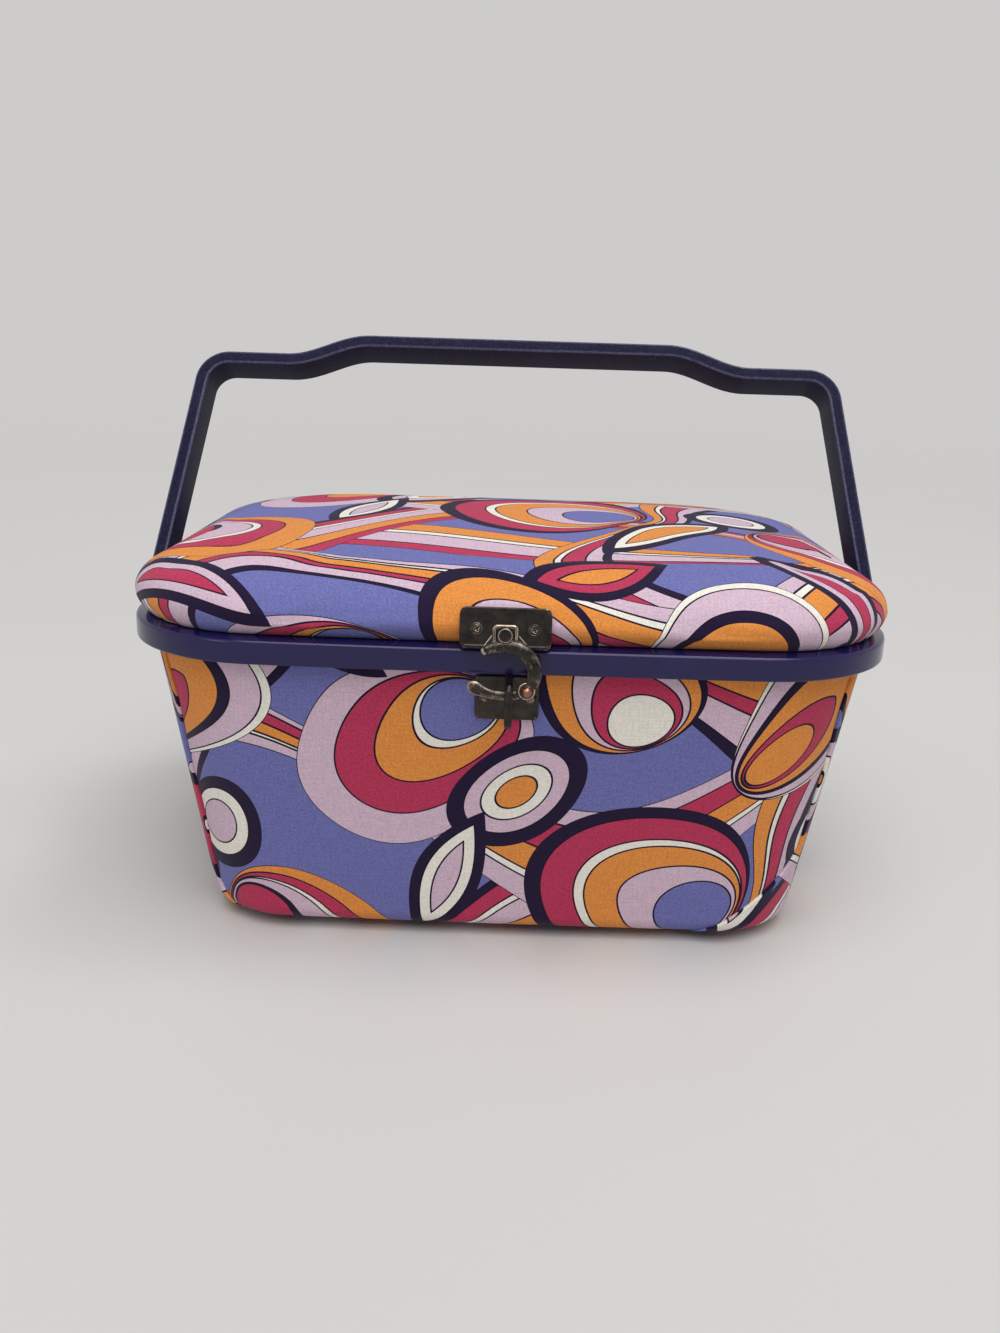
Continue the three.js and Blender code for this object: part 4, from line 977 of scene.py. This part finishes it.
def lidProfile(inset, bottomZ, tuckSteps=10, edgeSteps=26, crownSteps=24):
    # lower edge to crown: drawn in, height, bow share and share of the flat top's plan
    t = np.linspace(0, 1, tuckSteps, endpoint=False)
    a = np.linspace(0, quarter, edgeSteps)
    crown = np.linspace(1, 0.02, crownSteps)[1:]
    reach, height = lid["edge"] - inset, lid["edgeHeight"] - inset
    drawn = np.concatenate([inset + lid["tuck"] * (1 - np.sin(t * quarter)),
                            inset + reach * (1 - np.cos(a)), np.full(len(crown), lid["edge"])])
    z = np.concatenate([bottomZ + (lid["bulgeZ"] - bottomZ) * t,
                        lid["bulgeZ"] + height * np.sin(a),
                        lid["bulgeZ"] + height + lid["crown"] * (1 - crown**2)])
    bow = np.concatenate([np.ones(tuckSteps), 1 - a / quarter, np.zeros(len(crown))])
    return drawn, z, bow, np.concatenate([np.ones(tuckSteps + edgeSteps), crown])


def lidRows(drawn, z, bow, scale):
    w, d, r, swell = lid["sizes"]
    plan = [(size - drawn) * scale for size in (w, d, r)]
    return ringRows(lidShares, *plan, swell * bow, z)


def lidUv(drawn, z, _, scale):
    # the cloth laid flat: the flat top's plan, and beyond it straight out by the skin's length
    shares = np.append(lidShares, 1.0)
    w, d, r = [size - lid["edge"] for size in lid["sizes"][:3]]
    x, y, angle = planAt(shares, w, d, r, 0.0)
    run = np.concatenate([[0], np.cumsum(np.hypot(np.diff(drawn), np.diff(z)))])
    flatAt = np.argmax(scale < 1) - 1
    beyond = np.maximum(run[flatAt] - run, 0)[:, None]
    angle = np.where(shares >= 1, 3 * quarter, angle)  # the last share is the first again
    scale = scale[:, None]
    return np.stack([x * scale + np.cos(angle) * beyond, y * scale + np.sin(angle) * beyond], -1)


def lidSkins(outer, inner, top=None):
    # the underside from its middle to the lower edge, then the top: points and flat cloth
    top = lidRows(*outer) if top is None else top
    flat = np.concatenate([lidUv(*inner)[::-1], lidUv(*outer)], 0)
    return np.concatenate([lidRows(*inner)[::-1], top], 0), flat


hingeX = 72.0
clasp = {
    "x": -1.2, "tilt": math.radians(8), "rivetZ": 131.7, "plate": (32.0, 14.6), "rise": 2.2,
    "thick": 1.2, "sunk": 0.3, "screwX": 10.0, "screwZ": 1.9, "reach": 21.0, "hookThick": 2.2,
    "gap": 0.3, "standOff": 0.6,
}
gathers = {"count": 96, "uneven": 40, "depth": 0.3, "place": 0.12, "spread": 0.35, "reach": 15.0}
pressedFlat = {"claspHalf": 19, "hingeHalf": 14, "beyond": 90, "claspTop": 143}


def lidCoverSkins():
    outer = lidProfile(0.0, lid["bottomZ"])
    _, z, _, scale = [column[:, None] for column in outer]
    top = lidRows(*outer)
    # small gathers where the cloth is drawn under the corners, fading upwards
    turn = lidShares * fullTurn
    angle = np.interp(lidShares, knotShare, knotAngle)
    onCorner = np.clip(np.sin((angle % quarter) / quarter * math.pi) * 1.4, 0, 1)
    height = np.clip((z - lid["bottomZ"]) / gathers["reach"], 0, 1)
    ripple = np.sin(turn * gathers["count"] + 3 * np.sin(lidShares * gathers["uneven"])) * onCorner
    fade = np.exp(-((height - gathers["place"]) / gathers["spread"]) ** 2)
    outward = top - np.array([0, 0, 120.0])
    outward /= np.linalg.norm(outward, axis=-1, keepdims=True)
    wander = np.sin(turn * 5 + 1.0) * np.sin(z / 7.0) + np.sin(turn * 11 + 2.0) * np.cos(z / 4.0)
    soft = (ripple * gathers["depth"] * fade - 0.15) + 0.12 * wander * scale
    move = swollen(top, np.arange(6), pressure=2.5, cap=1.3)
    # the cloth stays pressed flat under the clasp's plate and the hinges' leaves
    x, y, up = np.moveaxis(top, -1, 0)
    flat = pressedFlat
    pressed = np.exp(-((x - clasp["x"]) / flat["claspHalf"]) ** 4)
    pressed = pressed * (y < -flat["beyond"]) * (up < flat["claspTop"])
    for middle in (-hingeX, hingeX):
        hereFlat = np.exp(-((x - middle) / flat["hingeHalf"]) ** 4) * (y > flat["beyond"])
        pressed = np.maximum(pressed, hereFlat)
    top = top + (move + outward * np.minimum(soft, 0.4)[..., None]) * (1 - pressed)[..., None]
    top[..., 2] = np.maximum(top[..., 2], lid["bottomZ"] - 0.05)
    return lidSkins(outer, lidProfile(lid["padInner"], lid["innerZ"]), top)


grid, uv = lidCoverSkins()
uv = (uv + (40, 66)) * toMetres  # where the lid's cloth is cut from the print
lidCover = gridPiece("lid_padded_cover", grid, printedCloth, uv=uv, caps=(True, True))
shown(lidCover, "lid", "lid_cover", "lid_padding", slot="printed_fabric")

grid, uv = lidSkins(lidProfile(lid["lining"], lid["innerZ"]),
                    lidProfile(lid["lining"] + lid["liningThick"], lid["innerZ"]))
lidLining = gridPiece("lid_lining_cloth", grid, liningCloth, uv=uv * toMetres, caps=(True, True))
shown(lidLining, "lid", "lid_lining", slot="lining")
cut(lidLining, "lid_shell")
print("lid made")

cushion = {"width": 46.0, "depth": 30.0, "thick": 10.0, "top": 148.05, "rings": 22}


def cushionGrid():
    # an oval pad: half height = thick / 2 * sqrt(1 - r^2.6), its flat top against the lining
    rings, half = cushion["rings"], cushion["thick"] / 2
    r = np.linspace(0.03, 1, rings)
    r = np.concatenate([r, r[-2::-1]])
    under = np.where(np.arange(len(r)) < rings, -1, 1)
    a = np.linspace(0, fullTurn, 96, endpoint=False)
    x = np.outer(r, np.cos(a)) * cushion["width"]
    y = np.outer(r, np.sin(a)) * cushion["depth"]
    z = np.sqrt(np.maximum(1 - r**2.6, 0)) * under * half + cushion["top"] - half
    return np.stack([x, y, np.broadcast_to(z[:, None], x.shape)], -1)


grid = cushionGrid()
grid = grid + swollen(grid, np.arange(cushion["rings"], len(grid)), pressure=4.0, cap=1.5)
uv = np.concatenate([grid, grid[:, :1]], 1)[..., :2] * toMetres
pincushion = gridPiece("pincushion_pad", grid, feltCloth, uv=uv, caps=(True, True))
shown(pincushion, "lid", "pincushion", slot="pincushion_felt")

claspBackY = (-(lid["sizes"][1] + lid["sizes"][3]) - clasp["standOff"]
              - (lid["bulgeZ"] - clasp["rivetZ"]) * math.tan(clasp["tilt"]))
claspBasis = leaning((clasp["x"], claspBackY, clasp["rivetZ"]), clasp["tilt"])


def claspPlate(name, width, height, frameOf, corner=2.4):
    # a cast plate whose face lies a little lower than its rounded border
    thick = clasp["thick"]
    steps = [(1.0, thick), (1.2, thick - 0.05), (1.45, thick - clasp["sunk"])]
    piece = slab(name, roundedOutline(width, height, corner), thick, 0.5, frameOf, bronze, steps=steps)
    applied(piece, "SUBSURF", levels=1, render_levels=1)
    return wornAndHighlitEdges(piece, gain=2.0)


def screwHead(name, frameOf, radius, rise, finish, collar=False):
    # a low head cut with a cross, in a raised collar where it is set flush
    buried, cutDepth = -0.5, 0.32
    profile = [(0.01, buried), (radius * 0.9, buried), (radius * 0.9, rise * 0.3),
               (radius * 0.8, rise * 0.8), (radius * 0.6, rise), (0.01, rise * 1.1)]
    if collar:
        profile[1:3] = [(radius, buried), (radius, 0.05), (radius * 0.95, 0.16),
                        (radius * 0.86, 0.14), (radius * 0.8, -0.02), (radius * 0.74, 0.02)]
        profile[-3] = (radius * 0.68, rise * 0.8)
    head = turned(name, profile, frameOf, finish)
    groove = roundedOutline(radius * 0.95, radius * 0.24, radius * 0.05, 3)
    for angle in (0.4, quarter + 0.4):
        c, s = math.cos(angle), math.sin(angle)
        spun = np.stack([groove[:, 0] * c - groove[:, 1] * s, groove[:, 0] * s + groove[:, 1] * c], -1)
        cutter = slab("cutter", spun, 1.5, 0.02, moved(frameOf, 0, 0, rise - cutDepth), finish)
        applied(head, "BOOLEAN", object=cutter, operation="DIFFERENCE", solver="EXACT")
        bpy.data.objects.remove(cutter)
    return wornAndHighlitEdges(head, gain=0.7)


shown(claspPlate("clasp_upper_plate_cast", *clasp["plate"], moved(claspBasis, 0, clasp["rise"], 0)),
      "lid", "clasp_upper_plate", slot="clasp_bronze")
for end, side in bothEnds:
    at = moved(claspBasis, side * clasp["screwX"], clasp["screwZ"], clasp["thick"] - clasp["sunk"])
    shown(screwHead(f"clasp_upper_screw_{end}_head", at, 2.1, 0.2, bronze, collar=True), "lid",
          f"clasp_upper_screw_{end}", slot="clasp_bronze")


def smoothPath(points, count):
    # a smooth line through points: cubic between neighbours, slopes from those either side
    points = np.asarray(points, float)
    ends = np.vstack([2 * points[0] - points[1], points, 2 * points[-1] - points[-2]])
    t = np.linspace(0, len(points) - 1.000001, count)
    i = t.astype(int)
    s = (t - i)[:, None]
    a, b, c, d = ends[i], ends[i + 1], ends[i + 2], ends[i + 3]
    square, cube = (2 * a - 5 * b + 4 * c - d) * s**2, (3 * b - a - 3 * c + d) * s**3
    return 0.5 * (2 * b + (c - a) * s + square + cube)


# the arm's middle line and full width, as shares of the hook's reach
armShares = np.array([
    [-0.4, -0.31, 0.12], [-0.27, -0.235, 0.16], [-0.1, -0.2, 0.19], [0.08, -0.19, 0.22],
    [0.26, -0.235, 0.235], [0.4, -0.35, 0.25], [0.485, -0.52, 0.25], [0.49, -0.7, 0.235],
    [0.42, -0.84, 0.21], [0.3, -0.92, 0.17],
])


def roundStart(t, length):
    # grows as a quarter circle over the first part of a rod
    return np.sqrt(np.clip(1 - np.clip(1 - t / length, 0, 1) ** 2, 0.02, 1))


def rod(name, *path, **section):
    return gridPiece(name, swept(*path, **section), bronze, caps=(True, True))


def hookPiece():
    # tab, arm, end boss with its knob, and catch bar, fused; the arm is thickest half way down
    half = clasp["hookThick"] / 2
    at = moved(claspBasis, 0, 0, clasp["thick"] + clasp["gap"] + half)
    back = moved(at, 0, 0, -half)
    arm = smoothPath(armShares * clasp["reach"], 80)
    t = np.linspace(0, 1, 80)
    tip = roundStart(t, 0.05)
    thick = half + 0.65 * np.sin(math.pi * np.clip((t - 0.08) / 0.92, 0, 1)) ** 0.7
    thick = np.maximum(np.minimum(thick, arm[:, 2] * 0.62), 0.9) * tip
    parts = [rod("arm", arm[:, :2], arm[:, 2] / 2 * tip, thick, at,
                 sides=28, squareness=2.15, lift=thick - half)]
    angle = np.arcsin(np.linspace(-0.6, 0.42, 50))
    bar = clasp["reach"] * np.stack([np.sin(angle), -np.cos(angle)], -1)
    t = np.linspace(0, 1, 50)
    tip = roundStart(t, 0.13)
    width = (1.65 + 0.75 * np.exp(-((t - 0.1) / 0.16) ** 2)) * tip
    parts.append(rod("bar", bar, width, half * tip, at, sides=28, squareness=2.1))
    face = half * 2
    tabAt = moved(back, 0, -0.6, 0)
    parts.append(slab("tab", roundedOutline(9.2, 8.8, 1.9), face, 0.7, tabAt, bronze,
                      steps=[(1.2, face), (1.5, face - 0.3)]))
    # a web flares from the tab down to the arm
    flare = alongProfile([(-7.7, -4.0), (8.2, -3.5), (4.5, 0.6), (-4.5, 0.6)], 0.8)
    parts.append(slab("flare", flare, face - 0.35, 0.3, back, bronze))
    knob = moved(at, 0.375 * clasp["reach"], -0.905 * clasp["reach"], 0)
    boss = [(0.01, -half), (2.8, -half), (3.1, -half + 0.3), (3.15, half), (2.8, half + 0.45),
            (2.3, half + 0.3), (1.9, half - 0.3), (0.01, half - 0.3)]
    parts.append(turned("boss", boss, knob, bronze, sides=36))
    a = np.linspace(-quarter, quarter, 16)
    radius, blend = 2.0, 0.25
    ball = np.stack([np.maximum(radius * np.cos(a), 0.01), radius * np.sin(a)], -1)
    ballAt = moved(knob, 0.1, -0.3, half + 0.6)
    parts.append(turned("knob", ball, ballAt, bronze, sides=28))
    # the hook's edges get worn metal and a painted highlight
    hook = wornAndHighlitEdges(fused("clasp_hook_cast", parts, voxel=0.00018, rounds=4), gain=4.6)
    # the knob is bare copper, which shows through the plating there
    points = readout(hook.data.vertices, "co", 3)
    away = np.linalg.norm(points - placed(ballAt[0]), axis=1) * toMm
    return marked(hook, "copper", np.clip((radius + blend - away) / blend, 0, 1))


shown(hookPiece(), "clasp_hook", "clasp_hook", slot="clasp_bronze")
rivetBack = clasp["thick"] + clasp["gap"] + clasp["hookThick"] + 0.1
dome = [(0.01, -1.0), (1.5, -1.0), (1.5, 0), (2.5, 0), (2.65, 0.2), (2.65, 0.75), (2.5, 1.0),
        (2.25, 1.12), (2.05, 1.0), (1.9, 0.97), (0.01, 1.1)]
rivet = turned("clasp_rivet_head", dome, moved(claspBasis, 0, 0, rivetBack), bronze, sides=36)
shown(wornAndHighlitEdges(rivet, gain=1.1), "lid", "clasp_rivet", slot="clasp_bronze")

lower = {"z": 106.8, "plate": (23.0, 17.6), "screwX": 8.2, "standOff": 0.3}
_, halfDepth, _, bow = tubSizes(np.array([lower["z"]]))
tubLean = math.atan((tub["top"][1] - tub["base"][1]) / (tub["rimZ"] - wallLowZ))
lowerBackY = -(halfDepth[0] + bow[0]) - lower["standOff"]
lowerBasis = leaning((0, lowerBackY, lower["z"]), -tubLean)
shown(claspPlate("clasp_lower_plate_cast", *lower["plate"], lowerBasis, corner=1.6), "basket",
      "clasp_lower_plate", slot="clasp_bronze")
for end, side in bothEnds:
    at = moved(lowerBasis, side * lower["screwX"], 0, clasp["thick"] + 0.3)
    shown(screwHead(f"clasp_lower_screw_{end}_head", at, 1.9, 0.5, bronze), "basket",
          f"clasp_lower_screw_{end}", slot="clasp_bronze")


def staplePiece():
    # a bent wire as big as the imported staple: out at the top, down and back in
    low, high = [inMm(corner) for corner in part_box("clasp_staple")]
    wire, bend = 1.4, 3.4
    front, top, bottom = low[1] + wire, high[2] - wire, low[2] + wire
    corners = [(high[1], top), (front, top), (front, bottom), (high[1] + 1.4, bottom)]
    path = alongProfile(corners, [0.01, bend, bend, 0.01], 12)[6:-6]
    run = np.concatenate([[0], np.cumsum(np.linalg.norm(np.diff(path, axis=0), axis=1))])
    evenly = np.linspace(0, run[-1], 60)
    path = np.stack([np.interp(evenly, run, column) for column in path.T], -1)
    return rod("clasp_staple_wire", path, wire, wire, sideways(0.6, 1, 0))


# the wire's bends get worn metal and a painted highlight
shown(wornAndHighlitEdges(staplePiece(), gain=2.0), "basket", "clasp_staple", slot="clasp_bronze")
print("clasp made")

hinge = {
    "width": 22.0, "leaf": 1.2, "barrel": 2.4, "bore": 1.4, "middle": 7.4, "end": 7.0,
    "chamfer": 0.25, "backY": 107.487, "z": 126.9, "lowZ": 117.8, "highZ": 141.5, "screw": 1.7,
    "gap": 0.3,
}


def middleOf(node):
    return inMm(np.mean(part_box(node), axis=0))


def hingeLeaf(name, side, lowZ, highZ, barrels):
    # a plate with a web up or down to each rolled barrel, fused; barrels are (place, length) pairs
    x, z, leaf, chamfer = side * hingeX, hinge["z"], hinge["leaf"], hinge["chamfer"]
    inner, outer = hinge["bore"], hinge["barrel"]
    plateAt = backwards(x, hinge["backY"], 0)
    plate = roundedOutline(hinge["width"], highZ - lowZ, 1.3)
    middle = moved(plateAt, 0, (lowZ + highZ) / 2, 0)
    parts = [slab("plate", plate, leaf, 0.35, middle, steel, backEdge=0.1)]
    far = lowZ + 3 if lowZ < z else highZ - 3
    for place, length in barrels:
        web = roundedOutline(length, abs(far - z), 0.2)
        webAt = moved(plateAt, -place, (far + z) / 2, 0)
        parts.append(slab("web", web, leaf - 0.25, 0.15, webAt, steel, backEdge=0.05))
        half = length / 2
        profile = [(inner, -half), (outer - chamfer, -half), (outer, chamfer - half),
                   (outer, half - chamfer), (outer - chamfer, half), (inner, half)]
        axis = sideways(x + place, 1, z, hinge["backY"] + outer)
        parts.append(turned("barrel", profile, axis, steel, sides=36, hollow=True))
    return wornAndHighlitEdges(fused(name, parts, voxel=0.00022, rounds=3), gain=2.6)


pinProfile = [(0.01, -11.2), (0.9, -11.2), (1.1, -11.0), (1.1, 11.15), (1.6, 11.15), (1.6, 11.9),
              (1.35, 12.45), (0.7, 12.73), (0.01, 12.75)]
endPlace = (hinge["width"] - hinge["end"]) / 2
endBarrels = [(endPlace, hinge["end"]), (-endPlace, hinge["end"])]
middleBarrel = [(0, hinge["middle"])]
lowTop = hinge["z"] - hinge["barrel"] - hinge["gap"]
highBottom = hinge["z"] + hinge["barrel"] + 2 * hinge["gap"]
for end, side in bothEnds:
    shown(hingeLeaf(f"hinge_body_leaf_{end}_rolled", side, hinge["lowZ"], lowTop, endBarrels),
          "basket", f"hinge_body_leaf_{end}", slot="hinge_steel")
    shown(hingeLeaf(f"hinge_lid_leaf_{end}_rolled", side, highBottom, hinge["highZ"], middleBarrel),
          "lid", f"hinge_lid_leaf_{end}", slot="hinge_steel")
    axis = sideways(hingeX, side, hinge["z"], hinge["backY"] + hinge["barrel"])
    pin = turned(f"hinge_pin_{end}_headed", pinProfile, axis, steel, sides=28)
    shown(wornAndHighlitEdges(pin, gain=1.5), "basket", f"hinge_pin_{end}", slot="hinge_steel")
    for body, part in (("basket", "body"), ("lid", "lid")):
        for place in (1, 2):
            node = f"hinge_{part}_screw_{end}_{place}"
            centre = middleOf(node)
            at = backwards(centre[0], hinge["backY"] + hinge["leaf"], centre[2])
            screw = screwHead(f"{node}_head", at, hinge["screw"], 0.7, steel)
            shown(screw, body, node, slot="hinge_steel")

footProfile = [(0.01, 0), (4.5, 0), (5.2, 0.35), (5.5, 1.1), (5.95, 3.1), (5.8, 3.65), (0.01, 3.65)]
for count in (1, 2, 3, 4):
    centre = middleOf(f"foot_{count}")
    at = basis((centre[0], centre[1], 0), up=(0, 1, 0), out=(0, 0, 1))
    shown(turned(f"foot_{count}_moulded", footProfile, at, footRubber, sides=40), "basket",
          f"foot_{count}", slot="foot_rubber")
print("hinges and feet made")

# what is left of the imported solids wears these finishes
boards = ("body_shell", "lid_shell", "base_panel")
for name, node in nodes.items():
    node.data.materials.clear()
    node.data.materials.append(greyBoard if name in boards else rimPlastic)

floorHalf = 6.0  # metres, as all that follows
floorFinish = Finish("pale floor", Roughness=0.55)
here = floorFinish.objectPoint()
patches = floorFinish.noise(here, 3.0, 2.0)
away = floorFinish.add("ShaderNodeVectorMath", {"operation": "LENGTH"}, [here], "Value")
# the floor thins out between 1.2 m and 4 m, so its far edge isn't seen from behind
floorFinish.feed(Base_Color=floorFinish.mixed(patches, paint(203, 202, 199), paint(209, 207, 204)),
                 Alpha=floorFinish.ramp(away / floorHalf, [(0.2, 1.0), (0.67, 0.0)], "EASE"))
floorMesh = bpy.data.meshes.new("floor")
floorCorners = [(x * floorHalf, y * floorHalf, 0) for x, y in ((-1, -1), (1, -1), (1, 1), (-1, 1))]
floorMesh.from_pydata(floorCorners, [], [(0, 1, 2, 3)])
floorMesh.materials.append(floorFinish.material)
floor = linked("floor", floorMesh)


def softLamp(name, position, target, size, power):
    data = bpy.data.lights.new(name, "AREA")
    data.shape = "DISK"
    data.size = size
    data.energy = power
    lamp = linked(name, data)
    lamp.location = position
    lamp.rotation_mode = "QUATERNION"
    lamp.rotation_quaternion = (Vector(target) - Vector(position)).to_track_quat("-Z", "Y")


softLamp("overhead", (0.35, -0.05, 1.2), (0, 0, 0.12), size=0.35, power=2.2)
softLamp("window", (-1.3, -1.3, 1.0), (0, 0, 0.1), size=0.6, power=2.2)

sunData = bpy.data.lights.new("ceiling", "SUN")
sunData.energy = 2.2
sunData.angle = math.radians(55)
sun = linked("ceiling", sunData)
sun.rotation_euler = (math.radians(27), math.radians(5), 0)

# the room is pale where it is seen, also in metal, and dimmer where it lights things
world = bpy.data.worlds.new("room")
world.use_nodes = True
bpy.context.scene.world = world
room = world.node_tree
lighting = room.nodes["Background"]
lighting.inputs["Color"].default_value = paint(206, 206, 208)
lighting.inputs["Strength"].default_value = 0.5
seen = room.nodes.new("ShaderNodeBackground")
seen.inputs["Color"].default_value = paint(205, 204, 203)
rays = room.nodes.new("ShaderNodeLightPath")
either = room.nodes.new("ShaderNodeMixShader")
looking = rays.outputs["Is Camera Ray"]
for kind in ("Is Glossy Ray", "Is Transmission Ray"):
    more = room.nodes.new("ShaderNodeMath")
    more.operation = "MAXIMUM"
    room.links.new(looking, more.inputs[0])
    room.links.new(rays.outputs[kind], more.inputs[1])
    looking = more.outputs[0]
for place, socket in enumerate((looking, lighting.outputs[0], seen.outputs[0])):
    room.links.new(socket, either.inputs[place])
room.links.new(either.outputs[0], room.nodes["World Output"].inputs["Surface"])

# the camera that was fitted to the photograph: lens in millimetres, place in metres, degrees
view = {"lens": 32.28, "place": (0.00075, -0.50603, 0.2314), "yaw": 0.5, "pitch": 15.5, "roll": 1.8}
cameraData = bpy.data.cameras.new("camera")
cameraData.lens = view["lens"]
cameraData.sensor_width = 36.0
cameraData.clip_start = 0.01
cameraData.clip_end = 50
camera = linked("camera", cameraData)
yaw, pitch, roll = (math.radians(view[key]) for key in ("yaw", "pitch", "roll"))
level = math.cos(pitch)
forward = Vector((-math.sin(yaw) * level, math.cos(yaw) * level, -math.sin(pitch)))
facing = forward.to_track_quat("-Z", "Y").to_matrix() @ Matrix.Rotation(roll, 3, "Z")
camera.location = view["place"]
camera.rotation_mode = "QUATERNION"
camera.rotation_quaternion = facing.to_quaternion()
bpy.context.scene.camera = camera
bpy.context.scene.view_settings.view_transform = "Standard"

print("scene made")
